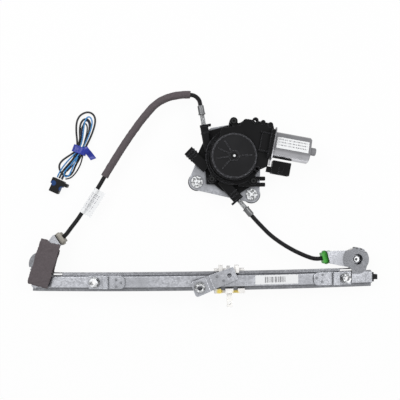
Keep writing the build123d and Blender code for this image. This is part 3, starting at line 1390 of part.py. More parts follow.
with BuildPart() as harness_tie:
    tie = Plane(
        origin=(HANK_WAIST[0] + ORIGIN_X, HANK_WAIST[1] + ORIGIN_Y, 0)).rotated((0, 0, -22))
    with BuildSketch(tie):
        RectangleRounded(21.0, 14.0, 1.0)
    extrude(amount=HARNESS_HIGH + 1.6)
    add(harness_hank.part, mode=Mode.SUBTRACT)
save(harness_tie, "harness_tie")

with BuildPart() as harness_connector:
    plug = Plane(
        origin=(PLUG_REAR[0] + ORIGIN_X, PLUG_REAR[1] + ORIGIN_Y, 0.4)).rotated((0, 0, PLUG_HEADING))
    with BuildSketch(plug):
        with Locations((6.5, 0)):
            RectangleRounded(9.0, 18.5, 1.0)
        with Locations((14.0, 0)):
            RectangleRounded(16.0, 14.0, 1.0)
        with Locations((6.0, 11.5)):
            RectangleRounded(5.0, 7.0, 1.0)
    extrude(amount=10.0)
    socket = Plane(
        origin=plug.from_local_coords((22.0, 0, 5.0)), x_dir=plug.y_dir, z_dir=plug.x_dir * -1)
    with BuildSketch(socket):
        RectangleRounded(10.8, 7.0, 0.8)
    extrude(amount=8.0, mode=Mode.SUBTRACT)
save(harness_connector, "harness_connector")
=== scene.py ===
from math import cos, radians, sin

import bmesh
import bpy
from bpy.props import FloatProperty, FloatVectorProperty, PointerProperty
from mathutils import Matrix, Vector, noise


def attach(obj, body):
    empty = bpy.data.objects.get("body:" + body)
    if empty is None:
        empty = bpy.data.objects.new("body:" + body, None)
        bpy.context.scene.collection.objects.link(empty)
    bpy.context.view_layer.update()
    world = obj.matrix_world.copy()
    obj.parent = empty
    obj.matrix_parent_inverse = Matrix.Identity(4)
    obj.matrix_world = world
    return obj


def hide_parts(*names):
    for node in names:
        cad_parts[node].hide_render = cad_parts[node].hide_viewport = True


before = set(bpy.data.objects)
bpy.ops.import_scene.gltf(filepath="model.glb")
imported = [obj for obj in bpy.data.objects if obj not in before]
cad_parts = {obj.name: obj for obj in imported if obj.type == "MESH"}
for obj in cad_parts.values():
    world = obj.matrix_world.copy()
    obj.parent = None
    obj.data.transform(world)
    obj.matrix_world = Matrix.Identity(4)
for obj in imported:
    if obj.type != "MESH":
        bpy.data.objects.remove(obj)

bl_info = {
    "name": "Window regulator looks",
    "version": (1, 0, 0),
    "blender": (4, 5, 0),
    "location": "View3D > Sidebar > Regulator",
    "description": "Finishes, wiring, foam and labels for a cable window regulator",
    "category": "Object",
}

MM = 0.001
CENTRE = Vector((-0.002703, -0.002192, 0.0))    # crown of the rail's bow in plan, under the camera
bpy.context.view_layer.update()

# where things stand, in metres
GREASE_SPOTS = ((0.0447, -0.1306), (0.0225, -0.1282))    # grease on the slider's lower side
PLUG_LATCHES = ((-0.2097, 0.0251), (-0.1988, 0.016))    # blue catches of the harness's plug
PULLEY_CENTRES = ((-0.2257, -0.0883), (0.2146, -0.0883))    # heads of the pulley axles
RAIL_LINE = -0.1115 + CENTRE.y    # middle of the rail
DRIVE_CENTRE = Vector((0.044797, 0.057208, 0.0))    # drum pin
DRIVE_TURN = radians(-11.25)    # heading of the motor
CAN_ORIGIN = (0.049772, 0.082218, 0.0)    # a point of the motor's axis, in plan

# colours that no swatch of the panel sets
BLACK = (0.0, 0.0, 0.0)
GREASE = (0.78, 0.62, 0.14)
LATCH_BLUE = (0.010, 0.045, 0.16)
CLEAN_ZINC = (0.80, 0.80, 0.80)
COPPER = (0.60, 0.25, 0.10)
BRONZE = (0.55, 0.40, 0.20)
IRON = (0.20, 0.20, 0.21)
FERRITE = (0.05, 0.05, 0.055)

# values between which a mask rises from nothing to all
EDGE_RISE = (0.015, 0.16)
CHIP_RISE = (0.30, 0.62)
CORNER_SHADE_RISE = (0.06, 0.55)
FLANK_SHADE_RISE = (0.25, 0.85)
CORNER_SHADE_COVER = 0.9    # how much of the painted shade's colour the deepest corner takes


# ---------------------------------------------------------------- properties
def colour(name, description, default):
    """Colour swatch with the options that they all share."""
    return FloatVectorProperty(
        name=name, description=description, subtype="COLOR", size=3, min=0.0, max=1.0, default=default)


def length(name, description, default, low=0.0, high=2.0):
    """Length in metres."""
    return FloatProperty(
        name=name, description=description, unit="LENGTH", default=default, min=low, max=high, precision=4)


def factor(name, description, default):
    """Share from nothing to all."""
    return FloatProperty(
        name=name, description=description, subtype="FACTOR", default=default, min=0.0, max=1.0)


class REGULATOR_PG_stage(bpy.types.PropertyGroup):
    camera_height: length("Camera Height", "Height of the camera above the table", 0.920)
    camera_lens: FloatProperty(
        name="Lens", description="Focal length on a 36 mm sensor", subtype="DISTANCE_CAMERA", default=57.86)
    camera_roll: FloatProperty(
        name="Roll", description="Turn of the camera about its own axis", subtype="ANGLE",
        default=radians(-0.85))
    table_size: length("Table Size", "Side of the square table", 6.0, 1.0, 20.0)
    table_colour: colour("Table Colour", "Colour of the paper the unit lies on", (0.82, 0.82, 0.82))
    shadow_share: factor("Shadow Share", "How much of the table's own shading the camera sees", 0.06)
    sky_strength: FloatProperty(
        name="Sky Strength", description="Brightness of the room around the table", default=0.55, min=0.0)
    lamp_power: FloatProperty(
        name="Lamp Power", description="Power of the large soft lamp", unit="POWER", default=9.0, min=0.0)


class REGULATOR_PG_harness(bpy.types.PropertyGroup):
    black_diameter: length("Black Wire", "Diameter of the black wires over their sheath", 0.0028)
    blue_diameter: length("Blue Wire", "Diameter of the blue wires over their sheath", 0.0020)
    black: colour("Black Wire Colour", "Colour of the black sheath", (0.012, 0.012, 0.014))
    light_blue: colour("Light Blue Wire Colour", "Colour of the light blue sheath", (0.040, 0.22, 0.50))
    dark_blue: colour("Dark Blue Wire Colour", "Colour of the dark blue sheath", (0.012, 0.030, 0.16))
    tie: colour("Tie Colour", "Colour of the band round the hank", (0.005, 0.020, 0.30))
    tie_width: length("Tie Width", "Width of the band round the hank", 0.0105)
    tie_thickness: length("Tie Thickness", "Thickness of the band round the hank", 0.0009)


class REGULATOR_PG_foam(bpy.types.PropertyGroup):
    wrap_voxel: length("Wrap Voxel", "Mesh step of the foam wrap", 0.0012, 0.0005, 0.01)
    sleeve_voxel: length("Sleeve Voxel", "Mesh step of the foam sleeve", 0.0010, 0.0005, 0.01)
    ripple: length("Ripple", "Height of the soft waves in the foam", 0.0011)
    foam: colour("Foam Colour", "Colour of the foam tape", (0.105, 0.090, 0.096))


class REGULATOR_PG_metal(bpy.types.PropertyGroup):
    galvanised: colour("Galvanised", "Colour of the zinc coated sheet", (0.42, 0.43, 0.46))
    bright: colour("Bright Zinc", "Colour of nuts, rivets and sleeves", (0.55, 0.56, 0.57))
    drawn: colour("Drawn Steel", "Colour of the motor can", (0.40, 0.40, 0.42))
    cable: colour("Cable", "Colour of the greased steel cable", (0.30, 0.30, 0.31))
    spangle_size: length("Spangle Size", "Size of the zinc crystals on the sheet", 0.0022)
    wear_radius: length("Wear Radius", "How far an edge's bright wear reaches", 0.0007)
    spring_wire: length("Spring Wire", "Diameter of the tension springs' wire", 0.0009)
    spring_radius: length("Spring Radius", "Radius of the tension springs' coils", 0.0029)
    spring_turns: FloatProperty(
        name="Spring Turns", description="Turns of each tension spring", default=12.0, min=1.0)


class REGULATOR_PG_plastic(bpy.types.PropertyGroup):
    black: colour("Black Moulding", "Colour of the black housings", (0.0045, 0.0045, 0.0050))
    white: colour("White Nylon", "Colour of the slider and pulleys", (0.86, 0.84, 0.82))
    green: colour("Green Nylon", "Colour of the right conduit bush", (0.050, 0.36, 0.035))
    beige: colour("Beige Nylon", "Colour of the left conduit bush", (0.34, 0.32, 0.28))
    rubber: colour("Rubber", "Colour of the rings and the end buffer", (0.009, 0.009, 0.010))
    sheath: colour("Conduit Sheath", "Colour of the conduit's outer sheath", (0.007, 0.007, 0.008))


class REGULATOR_PG_labels(bpy.types.PropertyGroup):
    paper: colour("Paper", "Colour of the labels", (0.80, 0.81, 0.82))
    ink: colour("Ink", "Colour of the plain bars", (0.10, 0.10, 0.11))
    thickness: length("Thickness", "Thickness of a label", 0.00015, 0.00005, 0.001)
    rail_length: length("Rail Label Length", "Length of the label along the rail", 0.0596)
    rail_width: length("Rail Label Width", "Width of the label across the rail", 0.0126)
    can_length: length("Can Label Length", "Length of the label along the motor can", 0.0440)
    can_width: length("Can Label Width", "Width of the label across the motor can", 0.0165)


# ---------------------------------------------------------------- making meshes
def shown(obj_name, data):
    """New object at the origin that holds a mesh, curve, lamp or camera."""
    obj = bpy.data.objects.new(obj_name, data)
    bpy.context.scene.collection.objects.link(obj)
    return obj


def from_bmesh(obj_name, bm, smooth=True):
    """New object from a bmesh, with its faces turned outwards."""
    bmesh.ops.recalc_face_normals(bm, faces=bm.faces)
    mesh = bpy.data.meshes.new(obj_name)
    bm.to_mesh(mesh)
    bm.free()
    for face in mesh.polygons:
        face.use_smooth = smooth
    return shown(obj_name, mesh)


def thicken(bm, thickness):
    """Turn an open sheet's faces one way and give it a thickness."""
    bmesh.ops.recalc_face_normals(bm, faces=bm.faces)
    bmesh.ops.solidify(bm, geom=bm.faces[:], thickness=thickness)


def merged_copy(obj_name, node, voxel):
    """Remeshed copy of a CAD node, as even small faces."""
    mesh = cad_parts[node].data.copy()
    bm = bmesh.new()
    bm.from_mesh(mesh)
    bmesh.ops.remove_doubles(bm, verts=bm.verts, dist=1e-6)
    bm.to_mesh(mesh)
    bm.free()
    mesh.materials.clear()
    obj = shown(obj_name, mesh)
    remesh = obj.modifiers.new("Even faces", "REMESH")
    remesh.mode = "VOXEL"
    remesh.voxel_size = voxel
    evaluated = obj.evaluated_get(bpy.context.evaluated_depsgraph_get())
    even = bpy.data.meshes.new_from_object(evaluated)
    obj.modifiers.clear()
    obj.data = even
    return obj


def finish(obj, body, material):
    """Give a piece its material and its body."""
    obj.data.materials.clear()
    obj.data.materials.append(material)
    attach(obj, body)


def dress(material, *nodes):
    """Give CAD nodes a material."""
    for name in nodes:
        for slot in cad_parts[name].material_slots:
            slot.material = material


# ---------------------------------------------------------------- shader groups
def new_group(name, inputs, outputs):
    """Empty shader node group with named sockets."""
    group = bpy.data.node_groups.new(name, "ShaderNodeTree")
    for label, kind, value in inputs:
        socket = group.interface.new_socket(name=label, in_out="INPUT", socket_type=kind)
        socket.default_value = value
    for label, kind in outputs:
        group.interface.new_socket(name=label, in_out="OUTPUT", socket_type=kind)
    return group, group.nodes.new("NodeGroupInput"), group.nodes.new("NodeGroupOutput")


def feed(tree, value, socket):
    """Give a shader input its value, or the socket that drives it."""
    if isinstance(value, bpy.types.NodeSocket):
        tree.links.new(value, socket)
    else:
        socket.default_value = value


def add(tree, kind, **given):
    """Shader node: lower case names are its settings, the others its inputs, with _ for a space."""
    node = tree.nodes.new("ShaderNode" + kind)
    for label, value in given.items():
        if label.islower():
            setattr(node, label, value)
        else:
            feed(tree, value, node.inputs[label.replace("_", " ")])
    return node


def object_place(tree):
    """Coordinates that are the piece's own, and move with it."""
    return add(tree, "TexCoord").outputs["Object"]


def maths(tree, operation, *operands):
    """Maths node; each operand is a number or a socket."""
    node = add(tree, "Math", operation=operation)
    for socket, operand in zip(node.inputs, operands):
        feed(tree, operand, socket)
    return node.outputs[0]


def ramp(tree, value, low, high):
    """Mask that rises smoothly from nothing to all between two values."""
    node = add(tree, "MapRange", interpolation_type="SMOOTHSTEP", From_Min=low, From_Max=high, Value=value)
    return node.outputs[0]


def blend(tree, share, first, second):
    """Mix of two colours by a share; each colour is a socket or a tuple."""
    node = add(tree, "Mix", data_type="RGBA")
    tree.links.new(share, node.inputs[0])
    for socket, value in ((node.inputs[6], first), (node.inputs[7], second)):
        feed(tree, value if isinstance(value, bpy.types.NodeSocket) else (*value, 1.0), socket)
    return node.outputs[2]


def edge_wear_and_highlight_group():
    """Mask of outer edges, broken up by noise; the materials paint these edges brighter, as wear and, where
    they brighten them much, as a painted highlight.
    """
    group, given, out = new_group(
        "Edge wear and highlight",
        (("Radius", "NodeSocketFloat", 0.0007), ("Break Up", "NodeSocketFloat", 900.0)),
        (("Mask", "NodeSocketFloat"), ("Rounded", "NodeSocketVector")),
    )
    bevel = add(group, "Bevel", samples=4, Radius=given.outputs["Radius"])
    dot = add(group, "VectorMath", operation="DOT_PRODUCT")
    group.links.new(bevel.outputs[0], dot.inputs[0])
    group.links.new(add(group, "NewGeometry").outputs["True Normal"], dot.inputs[1])
    edge = ramp(group, maths(group, "SUBTRACT", 1.0, dot.outputs["Value"]), *EDGE_RISE)
    chips = add(group, "TexNoise", Vector=object_place(group), Scale=given.outputs["Break Up"], Detail=3.0)
    mask = maths(group, "MULTIPLY", edge, ramp(group, chips.outputs[0], *CHIP_RISE))
    group.links.new(mask, out.inputs["Mask"])
    group.links.new(bevel.outputs[0], out.inputs["Rounded"])
    return group


def painted_shade_group():
    """Masks of corners and gaps, where shade is painted, and of faces that stand on edge, which are painted
    darker as shade.
    """
    group, given, out = new_group(
        "Painted shade",
        (("Reach", "NodeSocketFloat", 0.004),),
        (("Mask", "NodeSocketFloat"), ("Flank shade", "NodeSocketFloat")),
    )
    near = add(group, "AmbientOcclusion", samples=6, Distance=given.outputs["Reach"])
    closed = maths(group, "SUBTRACT", 1.0, near.outputs["AO"])
    group.links.new(ramp(group, closed, *CORNER_SHADE_RISE), out.inputs["Mask"])
    split = add(group, "SeparateXYZ", Vector=add(group, "NewGeometry").outputs["True Normal"])
    upright = maths(group, "SUBTRACT", 1.0, maths(group, "ABSOLUTE", split.outputs[2]))
    group.links.new(ramp(group, upright, *FLANK_SHADE_RISE), out.inputs["Flank shade"])
    return group


def grain_group():
    """Fine moulded or rolled grain, with a slow change of tone over it."""
    group, given, out = new_group(
        "Grain",
        (("Scale", "NodeSocketFloat", 1500.0), ("Patch Scale", "NodeSocketFloat", 25.0)),
        (("Height", "NodeSocketFloat"), ("Patch", "NodeSocketFloat")),
    )
    place = object_place(group)
    for label, scale, detail in (("Height", "Scale", 2.0), ("Patch", "Patch Scale", 4.0)):
        pattern = add(group, "TexNoise", Vector=place, Scale=given.outputs[scale], Detail=detail)
        group.links.new(pattern.outputs[0], out.inputs[label])
    return group


def spangle_group():
    """Crystals of a zinc coat: each has a tone of its own, and fine rolling lines cross them."""
    group, given, out = new_group(
        "Zinc spangle",
        (("Size", "NodeSocketFloat", 0.002),),
        (("Tone", "NodeSocketFloat"), ("Lines", "NodeSocketFloat")),
    )
    place = object_place(group)
    cells = add(group, "TexVoronoi", Vector=place, Scale=maths(group, "DIVIDE", 1.0, given.outputs["Size"]))
    split = add(group, "SeparateColor", Color=cells.outputs["Color"])
    group.links.new(split.outputs[0], out.inputs["Tone"])
    stretch = add(group, "Mapping", Vector=place, Scale=(60.0, 2600.0, 2600.0))
    rolled = add(group, "TexNoise", Vector=stretch.outputs[0], Scale=1.0)
    group.links.new(rolled.outputs[0], out.inputs["Lines"])
    return group


def foam_group():
    """Open cells of foam tape, with a felted fuzz."""
    group, given, out = new_group(
        "Foam cells",
        (("Cell Scale", "NodeSocketFloat", 900.0),),
        (("Height", "NodeSocketFloat"), ("Shade", "NodeSocketFloat")),
    )
    place = object_place(group)
    cells = add(group, "TexVoronoi", Vector=place, Scale=given.outputs["Cell Scale"])
    fuzz = add(group, "TexNoise", Vector=place, Scale=420.0, Detail=6.0)
    height = maths(group, "ADD", cells.outputs["Distance"], fuzz.outputs[0])
    group.links.new(height, out.inputs["Height"])
    group.links.new(fuzz.outputs[0], out.inputs["Shade"])
    return group


def use_group(tree, name, **values):
    """Place a shared group in a material, with its own values."""
    node = tree.nodes.new("ShaderNodeGroup")
    node.node_tree = bpy.data.node_groups[name]
    for label, value in values.items():
        node.inputs[label.replace("_", " ")].default_value = value
    return node.outputs


def new_material(name, metallic=0.0, roughness=0.5, specular=0.5):
    """Material with a Principled shader, its node tree and that shader."""
    material = bpy.data.materials.new(name)
    material.use_nodes = True
    shader = material.node_tree.nodes["Principled BSDF"]
    shader.inputs["Metallic"].default_value = metallic
    shader.inputs["Roughness"].default_value = roughness
    shader.inputs["Specular IOR Level"].default_value = specular
    return material, material.node_tree, shader


def bump(tree, shader, height, distance, strength, **normal):
    """Raise the surface by a height pattern, over a Normal where one is given."""
    node = add(tree, "Bump", Height=height, Distance=distance, Strength=strength, **normal)
    tree.links.new(node.outputs[0], shader.inputs["Normal"])


def scaled(tint, share):
    """Colour made lighter or darker."""
    return tuple(min(1.0, channel * share) for channel in tint)


def past_axis(tree, centre, inner, outer):
    """Mask of what lies away from an upright axis: nothing within one radius, all past the other."""
    place = add(
        tree, "Mapping", Vector=object_place(tree), Location=(-centre[0], -centre[1], 0.0),
        Scale=(1.0, 1.0, 0.0))
    span = add(tree, "VectorMath", operation="LENGTH", Vector=place.outputs[0])
    return ramp(tree, span.outputs["Value"], inner, outer)


def near_axis(tree, centre, inner, outer):
    """Mask of what lies near an upright axis: all within one radius, nothing past the other."""
    return maths(tree, "SUBTRACT", 1.0, past_axis(tree, centre, inner, outer))


def in_frame(tree, origin, turn):
    """Coordinates along x, y and z of a frame turned about the vertical."""
    place = add(
        tree, "Mapping", vector_type="TEXTURE", Vector=object_place(tree), Location=origin,
        Rotation=(0.0, 0.0, turn))
    return add(tree, "SeparateXYZ", Vector=place.outputs[0]).outputs


def across_frame(tree, turn, origin, low, high):
    """Mask that rises along y of a frame turned about the vertical."""
    return ramp(tree, in_frame(tree, origin, turn)[1], low, high)


def recolour(made, mask, change):
    """Change a made material's colour where a mask of its tree lies."""
    tree = made.node_tree
    target = tree.nodes["Principled BSDF"].inputs["Base Color"]
    now = target.links[0].from_socket
    tree.links.new(blend(tree, mask, now, change(now)), target)


def toned(made, mask, share):
    """Darken or lighten a made material where a mask lies."""
    recolour(made, mask, lambda now: add(
        made.node_tree, "VectorMath", operation="SCALE", Vector=now, Scale=share).outputs[0])


def spotted(made, centres, inner, outer, tint):
    """Colour round spots on a made material."""
    for centre in centres:
        recolour(made, near_axis(made.node_tree, centre, inner, outer), lambda now: tint)


def with_painted_shade(tree, clean, tint, reach=0.004, corner_shade_tone=0.25, flank=0.55):
    """Colour with painted shade in its corners and on its upright faces."""
    shade = use_group(tree, "Painted shade", Reach=reach)
    upright = blend(tree, maths(tree, "MULTIPLY", shade["Flank shade"], 1.0 - flank), clean, BLACK)
    return blend(tree, maths(tree, "MULTIPLY", shade["Mask"], CORNER_SHADE_COVER), upright, scaled(tint, corner_shade_tone))


def join(tree, shader, wear_and_highlight, shaded, edge, gloss, roughness, uneven, height, distance, strength):
    """Lead a finish's colour with its painted shade, its edges painted brighter (wear, and a painted
    highlight where the brightness is high), uneven gloss and relief into its shader.
    """
    tree.links.new(blend(tree, wear_and_highlight["Mask"], shaded, edge), shader.inputs["Base Color"])
    rough = maths(tree, "MULTIPLY_ADD", gloss, uneven, roughness - uneven / 2)
    tree.links.new(rough, shader.inputs["Roughness"])
    bump(tree, shader, height, distance, strength, Normal=wear_and_highlight["Rounded"])


def sheet_metal(name, tint, spangle, wear, dull=1.0, reach=0.004, corner_shade_tone=0.25):
    """Zinc coated sheet: crystals, rolling lines, dull patches and bright edges of wear."""
    roughness, spread = 0.34, 0.20    # spread: how far the crystals' tones lie apart
    material, tree, shader = new_material(name, metallic=1.0, roughness=roughness)
    crystals = use_group(tree, "Zinc spangle", Size=spangle)
    grain = use_group(tree, "Grain", Scale=1400.0, Patch_Scale=30.0)
    wear_and_highlight = use_group(tree, "Edge wear and highlight", Radius=wear, Break_Up=700.0)
    tone = blend(
        tree, crystals["Tone"], scaled(tint, dull * (1.0 - spread)), scaled(tint, dull * (1.0 + spread)))
    patch = blend(tree, ramp(tree, grain["Patch"], 0.35, 0.70), tone, scaled(tint, 0.78 * dull))
    # painted shade in the corners and on the upright faces
    shaded = with_painted_shade(tree, patch, tint, reach=reach, corner_shade_tone=corner_shade_tone)
    height = maths(tree, "ADD", grain["Height"], maths(tree, "MULTIPLY", crystals["Lines"], 0.6))
    join(tree, shader, wear_and_highlight, shaded, edge=scaled(tint, 2.1), gloss=crystals["Tone"], roughness=roughness,
         uneven=0.12, height=height, distance=0.00004, strength=0.6)
    return material


def turned_metal(name, tint, roughness, glints=0.0):
    """Plated or drawn steel with soft marks, or with glints where their scale is given."""
    material, tree, shader = new_material(name, metallic=1.0, roughness=roughness)
    grain = use_group(tree, "Grain", Scale=2200.0, Patch_Scale=55.0)
    wear_and_highlight = use_group(tree, "Edge wear and highlight", Radius=0.0004, Break_Up=1200.0)
    marks = blend(tree, ramp(tree, grain["Patch"], 0.30, 0.75), tint, scaled(tint, 0.80))
    # painted glints: light and dark spots in the colour that stand in for reflections on the plated pieces
    if glints:
        facets = use_group(tree, "Grain", Scale=glints, Patch_Scale=55.0)
        broken = ramp(tree, facets["Height"], 0.36, 0.62)
        marks = blend(tree, broken, scaled(tint, 0.30), scaled(tint, 1.55))
    # painted shade in the corners and on the upright faces
    shaded = with_painted_shade(tree, marks, tint, corner_shade_tone=0.12, flank=0.5)
    join(tree, shader, wear_and_highlight, shaded, edge=scaled(tint, 1.7), gloss=grain["Patch"], roughness=roughness,
         uneven=0.16, height=grain["Height"], distance=0.00002, strength=0.5)
    return material


def moulding(name, tint, roughness=0.45, specular=0.14, edge=1.9, texture=0.00006, corner_shade_tone=0.5):
    """Moulded plastic or rubber: fine grain, slightly uneven gloss and brightened edges: rubbed edges, and
    a painted highlight where edge is large.
    """
    material, tree, shader = new_material(name, roughness=roughness, specular=specular)
    grain = use_group(tree, "Grain", Scale=1700.0, Patch_Scale=40.0)
    wear_and_highlight = use_group(tree, "Edge wear and highlight", Radius=0.0006, Break_Up=500.0)
    tone = blend(tree, ramp(tree, grain["Patch"], 0.30, 0.72), scaled(tint, 0.85), scaled(tint, 1.18))
    # painted shade in the corners and on the upright faces
    shaded = with_painted_shade(tree, tone, tint, corner_shade_tone=corner_shade_tone, flank=0.85)
    join(tree, shader, wear_and_highlight, shaded, edge=scaled(tint, edge), gloss=grain["Patch"], roughness=roughness,
         uneven=0.24, height=grain["Height"], distance=texture, strength=0.6)
    return material


def foam(name, tint):
    """Dark foam tape with open cells."""
    material, tree, shader = new_material(name, roughness=0.95, specular=0.15)
    cells = use_group(tree, "Foam cells", Cell_Scale=950.0)
    shade = ramp(tree, cells["Shade"], 0.30, 0.70)
    tree.links.new(blend(tree, shade, scaled(tint, 0.92), scaled(tint, 1.10)), shader.inputs["Base Color"])
    bump(tree, shader, cells["Height"], 0.00012, 0.5)
    return material


def bar_code(name, paper, ink, origin, turn, step, half_length, half_width, rows=0.0):
    """White label with a plain row of bars, or plain rules, that say nothing."""
    filled, row_share = 0.52, 0.42    # noise above which a bar is inked, and the inked part of a row
    material, tree, shader = new_material(name, roughness=0.45, specular=0.3)
    along, over = in_frame(tree, origin, turn)[:2]
    bars = add(tree, "TexNoise", noise_dimensions="1D", W=along, Scale=1.0 / step, Detail=0.0)
    stripes = maths(tree, "GREATER_THAN", bars.outputs[0], filled)
    if rows:
        line = maths(tree, "FRACT", maths(tree, "DIVIDE", over, rows))
        stripes = maths(tree, "MULTIPLY", stripes, maths(tree, "LESS_THAN", line, row_share))
    inside = maths(
        tree, "MULTIPLY",
        maths(tree, "LESS_THAN", maths(tree, "ABSOLUTE", over), half_width),
        maths(tree, "LESS_THAN", maths(tree, "ABSOLUTE", along), half_length))
    mask = maths(tree, "MULTIPLY", stripes, inside)
    tree.links.new(blend(tree, mask, paper, ink), shader.inputs["Base Color"])
    grain = use_group(tree, "Grain", Scale=3000.0, Patch_Scale=80.0)
    bump(tree, shader, grain["Height"], 0.00001, 0.4)
    return material


# ---------------------------------------------------------------- stage
TABLE_DROP = 0.0002    # keeps the table's face off the undersides that lie flat on it
LAMPS = (    # name, place, side of the square, share of the power
    ("Lamp left", (-0.7, 0.5, 1.1), 0.9, 1.0),
    ("Lamp right", (0.8, 0.2, 0.9), 0.5, 0.45),
)


def direct_rays(tree):
    """Mask of rays from the camera, and of those that gloss or a clear piece sends on."""
    rays = add(tree, "LightPath")
    seen = maths(tree, "MAXIMUM", rays.outputs["Is Camera Ray"], rays.outputs["Is Glossy Ray"])
    return maths(tree, "MAXIMUM", seen, rays.outputs["Is Transmission Ray"])


class REGULATOR_OT_stage(bpy.types.Operator):
    """Set up the camera, the table, the lamps and the sky"""
    bl_idname = "regulator.stage"
    bl_label = "Stage"

    def execute(self, context):
        sizes = context.scene.regulator_stage
        scene = context.scene
        scene.view_settings.view_transform = "Standard"

        camera_data = bpy.data.cameras.new("Camera")
        camera_data.lens = sizes.camera_lens
        camera_data.sensor_width = 36.0
        camera_data.clip_start = 0.01
        camera_data.clip_end = 20.0
        camera = shown("Camera", camera_data)
        camera.location = (CENTRE.x, CENTRE.y, sizes.camera_height)
        camera.rotation_euler = (0.0, 0.0, sizes.camera_roll)
        scene.camera = camera

        bm = bmesh.new()
        bmesh.ops.create_grid(bm, x_segments=1, y_segments=1, size=sizes.table_size / 2)
        bmesh.ops.translate(bm, verts=bm.verts, vec=(0.0, 0.0, -TABLE_DROP))
        table = from_bmesh("Table", bm, smooth=False)
        material, tree, shader = new_material("Table paper", roughness=0.9, specular=0.1)
        shader.inputs["Base Color"].default_value = (*sizes.table_colour, 1.0)
        glow = add(tree, "Emission")
        mix = add(tree, "MixShader")
        share = maths(tree, "MULTIPLY", direct_rays(tree), 1.0 - sizes.shadow_share)
        tree.links.new(share, mix.inputs[0])
        tree.links.new(shader.outputs[0], mix.inputs[1])
        tree.links.new(glow.outputs[0], mix.inputs[2])
        output = tree.nodes["Material Output"]
        tree.links.new(mix.outputs[0], output.inputs["Surface"])
        table.data.materials.append(material)

        world = bpy.data.worlds.new("Room")
        world.use_nodes = True
        scene.world = world
        tree = world.node_tree
        background = tree.nodes["Background"]
        background.inputs["Color"].default_value = (1.0, 1.0, 1.0, 1.0)
        strength = maths(
            tree, "MULTIPLY_ADD", direct_rays(tree), 1.0 - sizes.sky_strength, sizes.sky_strength)
        tree.links.new(strength, background.inputs["Strength"])

        for name, place, side, share in LAMPS:
            lamp_data = bpy.data.lights.new(name, "AREA")
            lamp_data.size = side
            lamp_data.energy = sizes.lamp_power * share
            lamp = shown(name, lamp_data)
            lamp.location = place
            lamp.rotation_euler = (-Vector(place)).to_track_quat("-Z", "Y").to_euler()
        return {"FINISHED"}


# ---------------------------------------------------------------- harness
WAIST = Vector((-0.1724, 0.0712, 0.0))    # where the tie holds the hank, on the table
WAIST_ACROSS = Vector((cos(radians(-22.0)), sin(radians(-22.0)), 0.0))
TIE_HEIGHT = 0.0062    # middle of the band above the table
TIE_HALF = (0.0090, 0.0048)    # half its width and half its height
TIE_SQUARE = 1.16    # past 1, flattens the loop's four sides
TIE_SIDES = 48
TIE_STEPS = 8
TIE_WAVE = (0.0005, 0.0004)    # how far the band is ruffled along the hank and upwards
TIE_WAVE_SCALE = 260.0
TAIL_START = Vector((-0.1649, 0.0745, 0.0105))
TAIL_RUN = Vector((0.0115, -0.0165, -0.0066))    # from its start to its end
TAIL_ACROSS = Vector((0.0078, 0.0030, 0.0))
TAIL_FOLD = (0.0016, 7.0)    # height of the folds down the tail, and how close they are
TAIL_TWIST = (0.0010, 11.0)    # the same for its twist


def waist(across, height):
    """Point under the tie, in millimetres across the hank and above the table."""
    place = WAIST + WAIST_ACROSS * across * MM
    return (place.x / MM, place.y / MM, height)


# routes in millimetres: out of the connector, round the hank's loops and under the tie
BLACK_ROUTE = (
    (-202.5, 31.6, 5.4), (-200.1, 36.8, 5.2), (-195.9, 44.0, 4.2), (-188.9, 52.0, 3.4), (-180.9, 61.0, 3.4),
    waist(-4.6, 3.6), (-176.5, 84.0, 3.2), (-177.9, 98.0, 3.0), (-177.3, 111.0, 3.0),
    (-173.5, 119.6, 3.0), (-166.3, 124.6, 3.0), (-158.5, 125.6, 3.2), (-152.1, 121.4, 3.4),
    (-149.8, 113.6, 3.6), (-152.3, 102.0, 3.6), (-157.9, 88.0, 3.6),
    waist(4.9, 3.6), (-173.9, 58.6, 3.6), (-179.7, 49.0, 3.2), (-182.9, 40.6, 3.0), (-188.5, 34.4, 3.0),
    (-196.5, 35.4, 3.0), (-201.9, 42.0, 3.0), (-203.3, 50.6, 3.0), (-197.9, 57.6, 3.4), (-188.3, 63.4, 5.4),
    waist(-2.0, 6.6), (-171.9, 84.6, 6.0), (-172.5, 98.0, 5.6), (-171.3, 108.6, 5.6), (-166.3, 115.6, 5.6),
    (-159.7, 114.8, 5.6), (-156.5, 107.6, 5.6), (-158.7, 97.0, 5.8), (-163.9, 84.0, 6.2),
    waist(2.4, 6.4), (-180.3, 57.4, 6.4), (-187.5, 48.4, 6.0), (-191.5, 41.6, 5.8),
)
THIN_BLACK_ROUTE = (
    (-198.3, 29.4, 6.6), (-195.5, 35.4, 6.6), (-190.9, 43.4, 6.4), (-185.1, 52.0, 6.4), (-178.9, 61.0, 6.8),
    waist(-4.2, 7.6), (-172.6, 84.0, 8.2), (-170.8, 96.0, 8.2), (-168.0, 105.6, 8.0), (-163.9, 109.6, 5.4),
    (-161.2, 104.6, 5.4), (-162.2, 94.0, 6.0), (-165.6, 82.4, 8.2),
    waist(5.6, 6.4), (-169.5, 58.8, 5.4), (-172.3, 50.4, 4.6), (-176.9, 42.4, 3.6), (-181.9, 36.0, 3.2),
    (-188.1, 30.9, 3.0), (-194.1, 30.6, 3.0),
)
